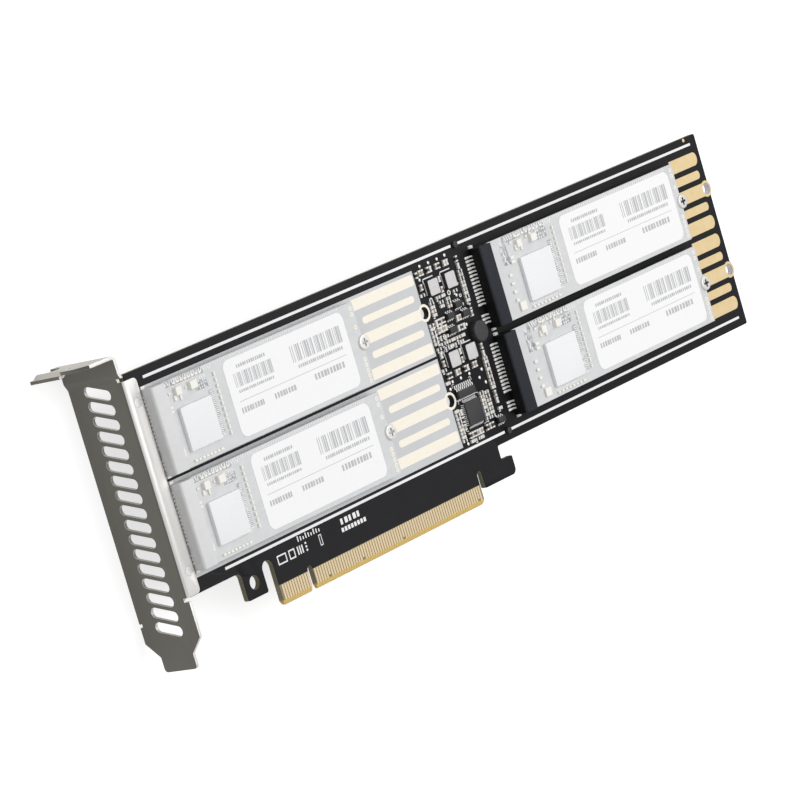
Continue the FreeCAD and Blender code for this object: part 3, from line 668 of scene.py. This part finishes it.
def cross_head_screw(bm, middle, radius, height, shank_radius, shank_length, up, recess=1):
    """One screw: a shank, a rounded head and a cross sunk into it, whose faces take the recess's
    material of painted shade.
    """
    turn = Matrix.Translation(middle) @ Matrix.Diagonal((1, 1, up, 1))

    def drum(segments, size, depth, middle_z):
        spot = turn @ Matrix.Translation((0, 0, middle_z))
        return bmesh.ops.create_cone(bm, cap_ends=True, segments=segments, radius1=size,
                                     radius2=size, depth=depth, matrix=spot)

    drum(24, shank_radius, shank_length, -shank_length / 2)
    head = drum(32, radius, height, height / 2)
    top_z = (turn @ Vector((0, 0, height))).z

    def on_top(item):
        return all(abs(vert.co.z - top_z) < FLAT for vert in item.verts)

    def top_faces():
        """Flat faces on this screw's head."""
        return [face for face in bm.faces
                if on_top(face) and (face.calc_center_median() - middle).xy.length < radius]

    rim = {edge for vert in head["verts"] for edge in vert.link_edges if on_top(edge)}
    round_off(bm, rim, height * 0.38, 4)
    # The cross: half an arm's width, and how far an arm reaches.
    arm = radius * 0.16
    reach = radius * 0.55
    for axis in ((1, 0, 0), (0, 1, 0)):
        for offset in (-arm, arm, -reach, reach):
            faces = top_faces()
            edges = {edge for face in faces for edge in face.edges}
            verts = {vert for face in faces for vert in face.verts}
            bmesh.ops.bisect_plane(bm, geom=faces + list(edges) + list(verts),
                                   plane_co=middle + Vector(axis) * offset, plane_no=axis)
    cross = []
    for face in top_faces():
        gap = face.calc_center_median() - middle
        near, far = sorted((abs(gap.x), abs(gap.y)))
        if near < arm and far < reach:
            cross.append(face)
    sunk = bmesh.ops.extrude_face_region(bm, geom=cross)
    bmesh.ops.delete(bm, geom=cross, context="FACES")
    floor = [item for item in sunk["geom"] if isinstance(item, bmesh.types.BMVert)]
    sink = height * 0.55
    bmesh.ops.translate(bm, verts=floor, vec=(0, 0, -up * sink))
    bmesh.ops.scale(bm, verts=floor, vec=(0.7, 0.7, 1.0), space=Matrix.Translation(-middle))
    # The recess's floor and walls take the painted shade.
    for vert in floor:
        for face in vert.link_faces:
            face.material_index = recess


class CARD_OT_screws(bpy.types.Operator):
    """Cross-recess screws of the drives and the bracket, and the drives' pillars"""
    bl_idname = "adapter_card.screws"
    bl_label = "Screws and pillars"

    # Radius and height of the head, radius of the shank and, for the drives' screws, its length.
    drive_screw = (2.0 * MM, 0.6 * MM, 0.95 * MM, 1.6 * MM)
    bracket_screw = (2.15 * MM, 1.5 * MM, 1.2 * MM)

    def execute(self, context):
        steel = [bright_screw_steel(),
                 recess_painted_shade("recess_painted_shade", "2E2E2D", "4A4A48"),
                 recess_painted_shade("recess_painted_pale_shade", "B4B3B0", "C8C7C4")]
        bm = bmesh.new()
        for name in DRIVES:
            low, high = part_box(name + "_drive_board")
            middle = Vector((high.x, (low.y + high.y) / 2, high.z))
            # The left drives' screws take the paler painted shade in their recesses.
            cross_head_screw(bm, middle, *self.drive_screw, 1, 2 if "left" in name else 1)
        bmesh.ops.recalc_face_normals(bm, faces=bm.faces)
        finished(bm, "drive_end_screws", steel, ["drive_screws"])
        low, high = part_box("bracket_screws")
        bm = bmesh.new()
        radius, height, shank_radius = self.bracket_screw
        seat = low.z + height
        for y in (low.y + radius, high.y - radius):
            middle = Vector(((low.x + high.x) / 2, y, seat))
            cross_head_screw(bm, middle, radius, height, shank_radius, high.z - seat, -1)
        bmesh.ops.recalc_face_normals(bm, faces=bm.faces)
        finished(bm, "bracket_back_screws", steel, ["bracket_screws"])
        dress(["drive_standoffs"], turned_brass())
        return {"FINISHED"}


class CARD_OT_sockets(bpy.types.Operator):
    """Drive sockets with their moulded ribs and tinned feet"""
    bl_idname = "adapter_card.sockets"
    bl_label = "Drive sockets"

    def execute(self, context):
        settings = context.scene.adapter_card
        pale = moulded_nylon("moulded_nylon_pale", "D8D8D8", "E2E2E2")
        dark = moulded_nylon("moulded_nylon_slate_painted_sheen", "1D2026", "282B33")
        black = moulded_nylon("moulded_nylon_black", "0C0C0E", "141416")
        tin = tinned_copper()
        flowed = flowed_solder()
        for name in DRIVES:
            # On the right housings, the slate top over black sides and ribs is a painted sheen on
            # black nylon.
            skins = [pale, pale] if "left" in name else [dark, black]
            slot = "pale_housing" if "left" in name else "dark_housing"
            softened_copy(name + "_socket", name + "_housing", skins, settings.edge_softness)
            self.rear_ribs(name, skins[1], slot)
            dress([name + "_socket_pins"], tin)
            if "right" in name:
                self.solder_fillets(name, flowed)
        return {"FINISHED"}

    # Ribs on the rear wall: their number, pitch and width, and how far the first stands in.
    ribs = 38
    rib_pitch = 0.5 * MM
    rib_width = 0.22 * MM
    rib_start = 1.6 * MM
    rib_depth = 0.07 * MM

    def rear_ribs(self, name, skin, slot):
        """Thin moulded ribs down the socket's rear wall."""
        low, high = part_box(name + "_socket")
        bm = bmesh.new()
        for index in range(self.ribs):
            y = low.y + self.rib_start + index * self.rib_pitch
            add_box(bm, (low.x - self.rib_depth, y, low.z + 1.15 * MM),
                    (low.x + 0.02 * MM, y + self.rib_width, high.z - 0.6 * MM))
        finished(bm, name + "_socket_ribs", [skin])

    # Solder round a tail: how far it stands out, how far along the tail it runs, and its height.
    fillet_margin = 0.1 * MM
    fillet_length = 1.3 * MM
    fillet_height = 0.34 * MM

    def solder_fillets(self, name, flowed):
        """Bright solder drawn up round the outer end of each tail."""
        source = node_copy(name + "_socket_pins")
        bm = bmesh.new()
        for faces in islands(source):
            low, high = corners(faces)
            margin = self.fillet_margin
            add_box(bm, (low.x - margin, low.y - margin, low.z),
                    (low.x + self.fillet_length, high.y + margin, low.z + self.fillet_height))
        source.free()
        soften(bm, self.fillet_margin)
        finished(bm, name + "_solder_fillets", [flowed])


class CARD_OT_drives(bpy.types.Operator):
    """Drive boards with their controllers, small parts and plated holes"""
    bl_idname = "adapter_card.drives"
    bl_label = "Drives"

    def execute(self, context):
        settings = context.scene.adapter_card
        softness = settings.edge_softness
        lacquer = drive_lacquer(settings)
        edges = {"left": pale_laminate_edge(), "right": cut_glass_laminate()}
        chip = moulded_epoxy("moulded_epoxy_pale", "EDEEEF", "F4F4F5")
        ink = screen_print_ink()
        parts = fired_ceramic("fired_ceramic_pale", "F0EDE4", "FAF8F3")
        cream = tinned_copper_pad()
        shade_lacquer = lacquer_painted_shade()
        for name in DRIVES:
            softened_copy(name + "_drive_board", name + "_drive_laminate",
                          [lacquer, edges[name.split("_")[1]]], softness / 2, 1)
            softened_copy(name + "_drive_controller", name + "_controller_package",
                          [chip], softness)
            dress([name + "_drive_small_parts"], parts)
            self.small_trim(name, ink, parts)
            self.end_vias(name, cream)
            self.painted_shade_fields(name, shade_lacquer)
        return {"FINISHED"}

    # Places beside the controller in millimetres: x from its near side, y from its upper side.
    # They are for a controller of the full size, and shrink with a smaller one.
    full_chip = 13.8
    near_strokes = ((-5.6, 5.2), (-6.0, 3.7), (-5.4, 2.2), (-5.3, 1.0), (-4.7, 0.0))
    # Pale parts: x, y, width and length.
    pale_parts = ((-2.6, 0.9, 1.6, 0.8), (-2.6, -0.3, 1.6, 0.8), (2.6, 2.8, 0.7, 2.0),
                  (0.3, 3.0, 1.0, 1.5), (-1.6, 4.8, 0.9, 0.6), (2.1, 5.8, 0.7, 0.6),
                  (5.6, 4.7, 0.7, 0.6), (7.4, 5.2, 0.6, 0.9))
    # Fields of painted shade behind the solder joints: left, bottom, right and height. The first
    # lies along the drive's edge.
    shade_field_places = ((-4.6, None, 14.6, 1.9), (9.6, 2.4, 15.2, 2.6),
                    (14.2, -11.9, 16.4, 13.2), (-6.4, -0.6, -3.4, 5.6))
    # Vias at the drive's end: steps from its middle, distance from its end, radii and height.
    via_steps = (9.4, 7.8, 4.4, -4.2, -5.6, -7.0, -8.4, -9.8)
    via_inset = 1.3 * MM
    via_inner = 0.28 * MM
    via_outer = 0.6 * MM
    via_height = 0.03 * MM

    def beside_controller(self, name):
        """Controller's upper near corner on the board, its share of full size, the board's edge."""
        board_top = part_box(name + "_drive_board")[1]
        chip_low, chip_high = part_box(name + "_drive_controller")
        share = (chip_high.x - chip_low.x) / self.full_chip
        corner = Vector((chip_low.x, chip_high.y, board_top.z))
        return corner, share, (board_top.y - corner.y) / share

    def painted_shade_fields(self, name, shade_lacquer):
        """Thin grey fields on the drive's board behind its solder joints: painted shade."""
        corner, share, edge = self.beside_controller(name)
        bm = bmesh.new()
        for left, bottom, right, height in self.shade_field_places:
            start = edge - height - 0.1 if bottom is None else bottom
            add_box(bm, corner + Vector((left, start, -0.005)) * share,
                    corner + Vector((right, start + height, 0.01)) * share)
        finished(bm, name + "_painted_shade_fields", [shade_lacquer])

    def small_trim(self, name, ink, parts):
        """Solder joints round the controller and along the label, and rows of tiny parts."""
        corner, share, edge = self.beside_controller(name)
        bm = bmesh.new()

        def speck(x, y, width, length, height=0.1, lean=0.0):
            """Small block that stands on the board, turned by a lean."""
            size = Vector((width, length, height)) * share
            middle = corner + Vector((x, y, 0.0)) * share + Vector((0, 0, size.z / 2))
            turned = Matrix.Rotation(lean, 4, "Z") @ Matrix.Diagonal((*size, 1.0))
            bmesh.ops.create_cube(bm, size=1.0, matrix=Matrix.Translation(middle) @ turned)

        for index, (x, y) in enumerate(self.near_strokes):
            speck(x, y, 0.4, 1.3, lean=0.5 - 0.9 * (index % 2))
        # Joints along the drive's edge, beside the controller and then beside the label
        for index in range(22):
            speck(-3.2 + index, edge - 0.95, 0.34, 1.5, lean=0.35 * (-1) ** (index // 3))
        label_start = 19.4
        label_end = (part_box(name + "_drive_label")[1].x - corner.x) / share
        for index in range(int(label_end - label_start)):
            speck(label_start + index, edge - 0.62, 0.3, 0.7, lean=0.3 * (-1) ** (index // 2))
        # Joints at the controller's far side, at its lower side, and a field of them above it
        for index in range(24):
            speck(15.5 + 0.12 * (index % 3), 0.7 - index * 0.56, 1.1, 0.26)
        for index in range(18):
            speck(0.4 + index * 0.55, -12.9 - 0.25 * (index % 2), 0.3, 0.5, 0.12)
        for row in range(4):
            for index in range(5):
                if (row + index) % 4:
                    speck(10.6 + index * 0.95, 2.9 + row * 0.95, 0.55, 0.35)
        finished(bm, name + "_solder_joints", [ink])
        bm = bmesh.new()
        for x, y, width, length in self.pale_parts:
            speck(x, y, width, length, 0.45)
        for index in range(4):
            speck(-5.1, -3.4 - index * 2.3, 1.3, 0.8, 0.45)
        # A larger part at the board's lower near corner
        speck(-3.6, -12.3, 2.6, 2.4, 0.6)
        soften(bm, 0.06 * MM, segments=1)
        finished(bm, name + "_trim_parts", [parts])

    def end_vias(self, name, cream):
        """Plated holes across the drive's end."""
        low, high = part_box(name + "_drive_board")
        middle = (low.y + high.y) / 2
        bm = bmesh.new()
        for step in self.via_steps:
            spot = Vector((high.x - self.via_inset, middle + step * MM, high.z))
            add_ring(bm, spot, self.via_inner, self.via_outer, self.via_height, 14)
        bmesh.ops.recalc_face_normals(bm, faces=bm.faces)
        finished(bm, name + "_drive_end_vias", [cream])


class CARD_OT_labels(bpy.types.Operator):
    """Paper labels with bars and fields that stand for print"""
    bl_idname = "adapter_card.labels"
    bl_label = "Drive labels"

    # Widths of bars and gaps, turn about. The row repeats them from the last to the first.
    bar_steps = (1, 2, 1, 3, 1, 1, 2, 1, 2, 3, 1, 2, 1, 1, 3, 1, 2, 2, 1, 1, 2, 3, 1, 1)
    # Rows of bars as shares of the label: left, right, bottom, top. Rows of blocks have their
    # number too.
    bar_rows = ((0.06, 0.37, 0.62, 0.80), (0.53, 0.955, 0.62, 0.84))
    word_rows = ((0.10, 0.34, 0.855, 0.90, 14), (0.07, 0.36, 0.545, 0.58, 18),
                 (0.56, 0.94, 0.53, 0.575, 22), (0.05, 0.24, 0.29, 0.36, 9),
                 (0.32, 0.50, 0.29, 0.36, 8), (0.66, 0.92, 0.30, 0.38, 10))
    rule = (0.05, 0.95, 0.440, 0.447)
    print_depth = 0.005 * MM

    def execute(self, context):
        settings = context.scene.adapter_card
        paper = coated_label_paper()
        ink = thermal_print()
        for name in DRIVES:
            dress([name + "_drive_label"], paper)
            self.low, self.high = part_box(name + "_drive_label")
            self.lift = settings.print_height
            bm = bmesh.new()
            for row in self.bar_rows:
                self.bars(bm, *row)
            for row in self.word_rows:
                self.words(bm, *row)
            self.field(bm, *self.rule)
            finished(bm, name + "_label_print", [ink])
        return {"FINISHED"}

    def field(self, bm, left, right, bottom, top):
        """One printed rectangle, in shares of the label."""
        size = self.high - self.low
        x, y, z = self.low.x, self.low.y, self.high.z
        add_box(bm, (x + left * size.x, y + bottom * size.y, z - self.print_depth),
                (x + right * size.x, y + top * size.y, z + self.lift))

    def bars(self, bm, left, right, bottom, top):
        """Row of upright bars of uneven width."""
        step = (right - left) / (2 * sum(self.bar_steps))
        at = left
        for index, width in enumerate(self.bar_steps + self.bar_steps[::-1]):
            if index % 2 == 0:
                self.field(bm, at, at + width * step, bottom, top)
            at += width * step

    def words(self, bm, left, right, bottom, top, count):
        """Row of small blocks that stands for a line of print."""
        step = (right - left) / count
        for index in range(count):
            at = left + index * step
            self.field(bm, at, at + step * (0.55 + 0.08 * (index % 4)), bottom, top)


class CARD_OT_components(bpy.types.Operator):
    """Soldered parts between the two pairs of drives"""
    bl_idname = "adapter_card.components"
    bl_label = "Board components"

    def execute(self, context):
        settings = context.scene.adapter_card
        black = moulded_epoxy("moulded_epoxy_black", "262628", "343436")
        grey = moulded_epoxy("pressed_ferrite", "C8C5C5", "DCDADA")
        can = moulded_epoxy("moulded_epoxy_grey", "2B2B2D", "39393B")
        tin = tinned_copper()
        softness = settings.edge_softness
        for name in ("clock_chip", "buffer_chip", "switch_chips", "line_studs"):
            softened_copy(name, name + "_body", [black], softness)
        softened_copy("power_inductors", "power_inductors_body", [grey, black],
                      softness)
        softened_copy("round_capacitor", "round_capacitor_body", [can], softness)
        dress(["clock_chip_pins", "buffer_chip_pins", "switch_chip_pins", "inductor_feet",
               "capacitor_ends"], tin)
        self.small_bodies(settings)
        self.lift = settings.print_height
        self.legend()
        self.solder_dots(tin)
        return {"FINISHED"}

    def small_bodies(self, settings):
        """Bodies of the small two-ended parts, in three kinds."""
        kinds = [
            fired_ceramic("fired_ceramic_brown", "9A8A7A", "B6A796"),
            fired_ceramic("fired_ceramic_black", "262628", "333335"),
            fired_ceramic("fired_ceramic_tan", "D0C8BC", "E4DED4"),
        ]
        bm = node_copy("capacitor_bodies")
        for index, faces in enumerate(islands(bm)):
            for face in faces:
                face.material_index = (index * 5 // 3) % 3
        soften(bm, settings.edge_softness / 2)
        finished(bm, "small_part_bodies", kinds, ["capacitor_bodies"])

    # Places in card millimetres: the inductors' middles, and the corners round the chips.
    inductor_columns = (88.4, 95.9)
    inductor_rows = (38.8, 58.5)
    chip_frames = ((86.0, 19.4, 95.0, 28.0), (85.4, 27.9, 93.9, 32.6))
    # Plain outlines above the contacts: left, bottom, right, top and the width of the line.
    outlines = ((18.9, 9.5, 20.0, 12.3, 0.22), (2.0, 9.7, 5.6, 12.1, 0.35),
                (6.6, 9.7, 9.0, 12.1, 0.35))

    def legend(self):
        """Printed outlines and ticks round the parts, and a few plain marks above the contacts."""
        bm = bmesh.new()
        for x in self.inductor_columns:
            for y in self.inductor_rows:
                self.mark(bm, x - 2.5, y + 2.55, x + 2.1, y + 2.85)
                self.mark(bm, x - 2.5, y + 1.5, x - 2.2, y + 2.85)
        for left, bottom, right, top in self.chip_frames:
            for x, y in ((left, bottom), (left, top), (right, bottom), (right, top)):
                inward = 1 if x == left else -1
                upward = 1 if y == bottom else -1
                self.mark(bm, x, y, x + inward, y + upward * 0.15)
                self.mark(bm, x, y, x + inward * 0.15, y + upward)
        # Plain marks above the contacts: outlines, and rows of dashes
        for outline in self.outlines:
            self.frame_mark(bm, *outline)
        for index in range(9):
            self.mark(bm, 11.1 + index * 1.06, 13.0, 11.5 + index * 1.06, 14.4 - 0.3 * (index % 3))
        for index in range(5):
            self.mark(bm, 28.4 + index * 1.7, 12.0, 29.3 + index * 1.7 + 0.3 * (index % 2), 13.5)
        for index in range(8):
            self.mark(bm, 28.0 + index * 1.3, 10.1, 28.9 + index * 1.3, 11.2)
        for index in range(3):
            self.mark(bm, 10.0 + index * 0.9, 9.9, 10.45 + index * 0.9, 12.0)
            self.mark(bm, 13.3, 9.9 + index * 0.9, 13.9, 10.4 + index * 0.9)
        # Ticks between the parts
        for column in range(3):
            for row in range(9):
                x = 84.9 + column * 1.5
                y = 41.4 + row * 0.95
                self.mark(bm, x, y, x + 0.8, y + 0.45)
        self.part_marks(bm)
        finished(bm, "board_legend", [screen_print_ink()])

    def mark(self, bm, x0, y0, x1, y1):
        """One printed bar on the board, from card millimetres."""
        low = place(min(x0, x1), min(y0, y1))
        high = place(max(x0, x1), max(y0, y1)) + Vector((0, 0, self.lift))
        add_box(bm, low, high)

    def frame_mark(self, bm, x0, y0, x1, y1, line):
        """Printed outline of a rectangle."""
        self.mark(bm, x0, y0, x1, y0 + line)
        self.mark(bm, x0, y1 - line, x1, y1)
        self.mark(bm, x0, y0 + line, x0 + line, y1 - line)
        self.mark(bm, x1 - line, y0 + line, x1, y1 - line)

    # A dash beside a small part: its gap, its far side, and its length along the part's side.
    dash_near = 0.27
    dash_far = 0.55
    dash_length = 0.9

    def part_marks(self, bm):
        """A short printed dash beside each small part, turn about on two of its sides."""
        source = node_copy("capacitor_bodies")
        for index, faces in enumerate(islands(source)):
            low, high = [(corner - card_origin) / MM for corner in corners(faces)]
            if index % 2:
                self.mark(bm, low.x, low.y - self.dash_far, high.x, low.y - self.dash_near)
            else:
                self.mark(bm, high.x + self.dash_near, low.y, high.x + self.dash_far,
                          low.y + self.dash_length)
        source.free()

    # Round pads in card millimetres, ringed pads with their radius, and the far corner's dot.
    dots = ((86.5, 64.75), (90.3, 64.75), (94.1, 64.75), (97.6, 64.9), (86.3, 33.2), (90.0, 33.2),
            (93.8, 33.3), (97.8, 53.9), (85.0, 61.4), (99.4, 56.6), (99.3, 51.0), (98.0, 36.6),
            (99.2, 33.0), (97.4, 31.2), (99.4, 29.4), (85.3, 16.4), (98.4, 45.6), (84.6, 31.6))
    test_pads = ((87.1, 55.3, 0.7), (95.0, 55.3, 0.7), (99.2, 53.4, 0.5))
    far_dot = (214.0, 68.2)

    def solder_dots(self, tin):
        """Domed solder on round pads, three ringed test pads, and a gold dot at the far corner."""
        bm = bmesh.new()
        for x, y in self.dots:
            self.dome(bm, place(x, y, 0.06), 12, 0.45 * MM, 0.26 * MM, 0.12 * MM)
        for x, y, radius in self.test_pads:
            add_ring(bm, place(x, y), radius * 0.5 * MM, radius * MM, 0.05 * MM)
        bmesh.ops.recalc_face_normals(bm, faces=bm.faces)
        finished(bm, "solder_dots", [tin])
        bm = bmesh.new()
        self.dome(bm, place(*self.far_dot, 0.02), 20, 0.55 * MM, 0.5 * MM, 0.05 * MM)
        finished(bm, "alignment_dot", [immersion_gold_pad()])

    def dome(self, bm, middle, segments, foot, top, height):
        """Low round drop with a flat top."""
        bmesh.ops.create_cone(bm, cap_ends=True, segments=segments, radius1=foot, radius2=top,
                              depth=height, matrix=Matrix.Translation(middle))


class CARD_OT_stage(bpy.types.Operator):
    """Pale floor, soft lights and the camera"""
    bl_idname = "adapter_card.stage"
    bl_label = "Studio"

    floor_size = 6.0
    floor_glow = 0.7
    world_strength = 0.46
    key_place = Vector((0.35, 0.25, 1.0))
    fill_place = Vector((-0.4, 0.1, 1.0))

    def execute(self, context):
        stage = context.scene.adapter_card_stage
        context.scene.view_settings.view_transform = "Standard"
        self.floor(stage)
        self.world()
        self.lamp("key_light", self.key_place, 1.0, stage.key_power)
        self.lamp("fill_light", self.fill_place, 0.6, stage.fill_power)
        self.camera(stage)
        return {"FINISHED"}

    def floor(self, stage):
        """Large floor that shows white to the camera and keeps the card's soft shadow."""
        # Flat emulsion paint: matt, with no sheen, and lit from itself where the camera sees it.
        material = finish("painted_studio_floor", stage.floor_colour, 0.9, specular=0.0)
        tree = material.node_tree
        shader = tree.nodes["Principled BSDF"]
        path = add_node(tree, "LightPath").outputs
        seen = add_node(tree, "Math", {0: path["Is Camera Ray"], 1: path["Is Glossy Ray"]},
                        operation="MAXIMUM")
        glow = add_node(tree, "Math", {0: seen.outputs["Value"]}, operation="MULTIPLY")
        glow.inputs[1].default_value = self.floor_glow
        shader.inputs["Emission Color"].default_value = WHITE
        tree.links.new(glow.outputs["Value"], shader.inputs["Emission Strength"])
        bm = bmesh.new()
        bmesh.ops.create_grid(bm, x_segments=1, y_segments=1, size=self.floor_size)
        added(bm, "studio_floor", [material])

    def world(self):
        """Even pale surroundings, white where the camera sees them."""
        world = bpy.data.worlds.new("studio_world")
        bpy.context.scene.world = world
        world.use_nodes = True
        tree = world.node_tree
        tree.nodes.clear()
        seen = add_node(tree, "LightPath").outputs["Is Camera Ray"]
        even = add_node(tree, "Background", Color=WHITE, Strength=self.world_strength)
        white = add_node(tree, "Background", Color=WHITE, Strength=1.0)
        mixed = add_node(tree, "MixShader", {0: seen, 1: even.outputs["Background"],
                                             2: white.outputs["Background"]})
        add_node(tree, "OutputWorld", {"Surface": mixed.outputs["Shader"]})

    def lamp(self, name, position, size, power):
        """Square soft light that points at the card's middle."""
        data = bpy.data.lights.new(name, "AREA")
        data.shape = "SQUARE"
        data.size = size
        data.energy = power
        lamp = bpy.data.objects.new(name, data)
        lamp.location = position
        lamp.rotation_mode = "QUATERNION"
        lamp.rotation_quaternion = (-position).to_track_quat("-Z", "Y")
        bpy.context.scene.collection.objects.link(lamp)

    # The photograph's camera, fitted in card millimetres: its three axes, and the card's origin
    # seen from it along them.
    camera_right = Vector((0.596947, -0.280786, 0.751541))
    camera_down = Vector((-0.277684, -0.951167, -0.134805))
    camera_forward = Vector((0.752693, -0.128219, -0.645766))
    origin_seen = Vector((-28.37889, 50.77621, 1046.86379))

    def camera(self, stage):
        """Camera at the photograph's place, worked out for a square picture."""
        data = bpy.data.cameras.new("card_camera")
        data.lens = stage.lens
        data.sensor_width = 36.0
        data.clip_start = 0.05
        data.clip_end = 20.0
        camera = bpy.data.objects.new("card_camera", data)
        turn = Matrix((self.camera_right, -self.camera_down, -self.camera_forward)).transposed()
        seen = self.origin_seen
        back = self.camera_right * seen.x + self.camera_down * seen.y + self.camera_forward * seen.z
        camera.matrix_world = Matrix.Translation(place(*(-back))) @ turn.to_4x4()
        bpy.context.scene.collection.objects.link(camera)
        bpy.context.scene.camera = camera


class CARD_PT_panel(bpy.types.Panel):
    """Lists the card's pieces in the sidebar"""
    bl_idname = "CARD_PT_panel"
    bl_label = "Adapter Card"
    bl_space_type = "VIEW_3D"
    bl_region_type = "UI"
    bl_category = "Adapter Card"

    def draw(self, context):
        for settings in (context.scene.adapter_card, context.scene.adapter_card_stage):
            for name in settings.bl_rna.properties.keys():
                if name not in ("rna_type", "name"):
                    self.layout.prop(settings, name)
        for operator in OPERATORS:
            self.layout.operator(operator.bl_idname)


OPERATORS = (CARD_OT_board, CARD_OT_contacts, CARD_OT_bracket, CARD_OT_screws, CARD_OT_sockets,
             CARD_OT_drives, CARD_OT_labels, CARD_OT_components, CARD_OT_stage)
CLASSES = (CardSettings, StageSettings) + OPERATORS + (CARD_PT_panel,)


def register():
    for item in CLASSES:
        bpy.utils.register_class(item)
    bpy.types.Scene.adapter_card = bpy.props.PointerProperty(type=CardSettings)
    bpy.types.Scene.adapter_card_stage = bpy.props.PointerProperty(type=StageSettings)


def unregister():
    del bpy.types.Scene.adapter_card_stage
    del bpy.types.Scene.adapter_card
    for item in reversed(CLASSES):
        bpy.utils.unregister_class(item)


def main():
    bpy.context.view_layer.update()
    register()
    bpy.ops.adapter_card.board()
    bpy.ops.adapter_card.contacts()
    bpy.ops.adapter_card.bracket()
    bpy.ops.adapter_card.screws()
    bpy.ops.adapter_card.sockets()
    bpy.ops.adapter_card.drives()
    bpy.ops.adapter_card.labels()
    bpy.ops.adapter_card.components()
    bpy.ops.adapter_card.stage()


if __name__ == "__main__":
    main()
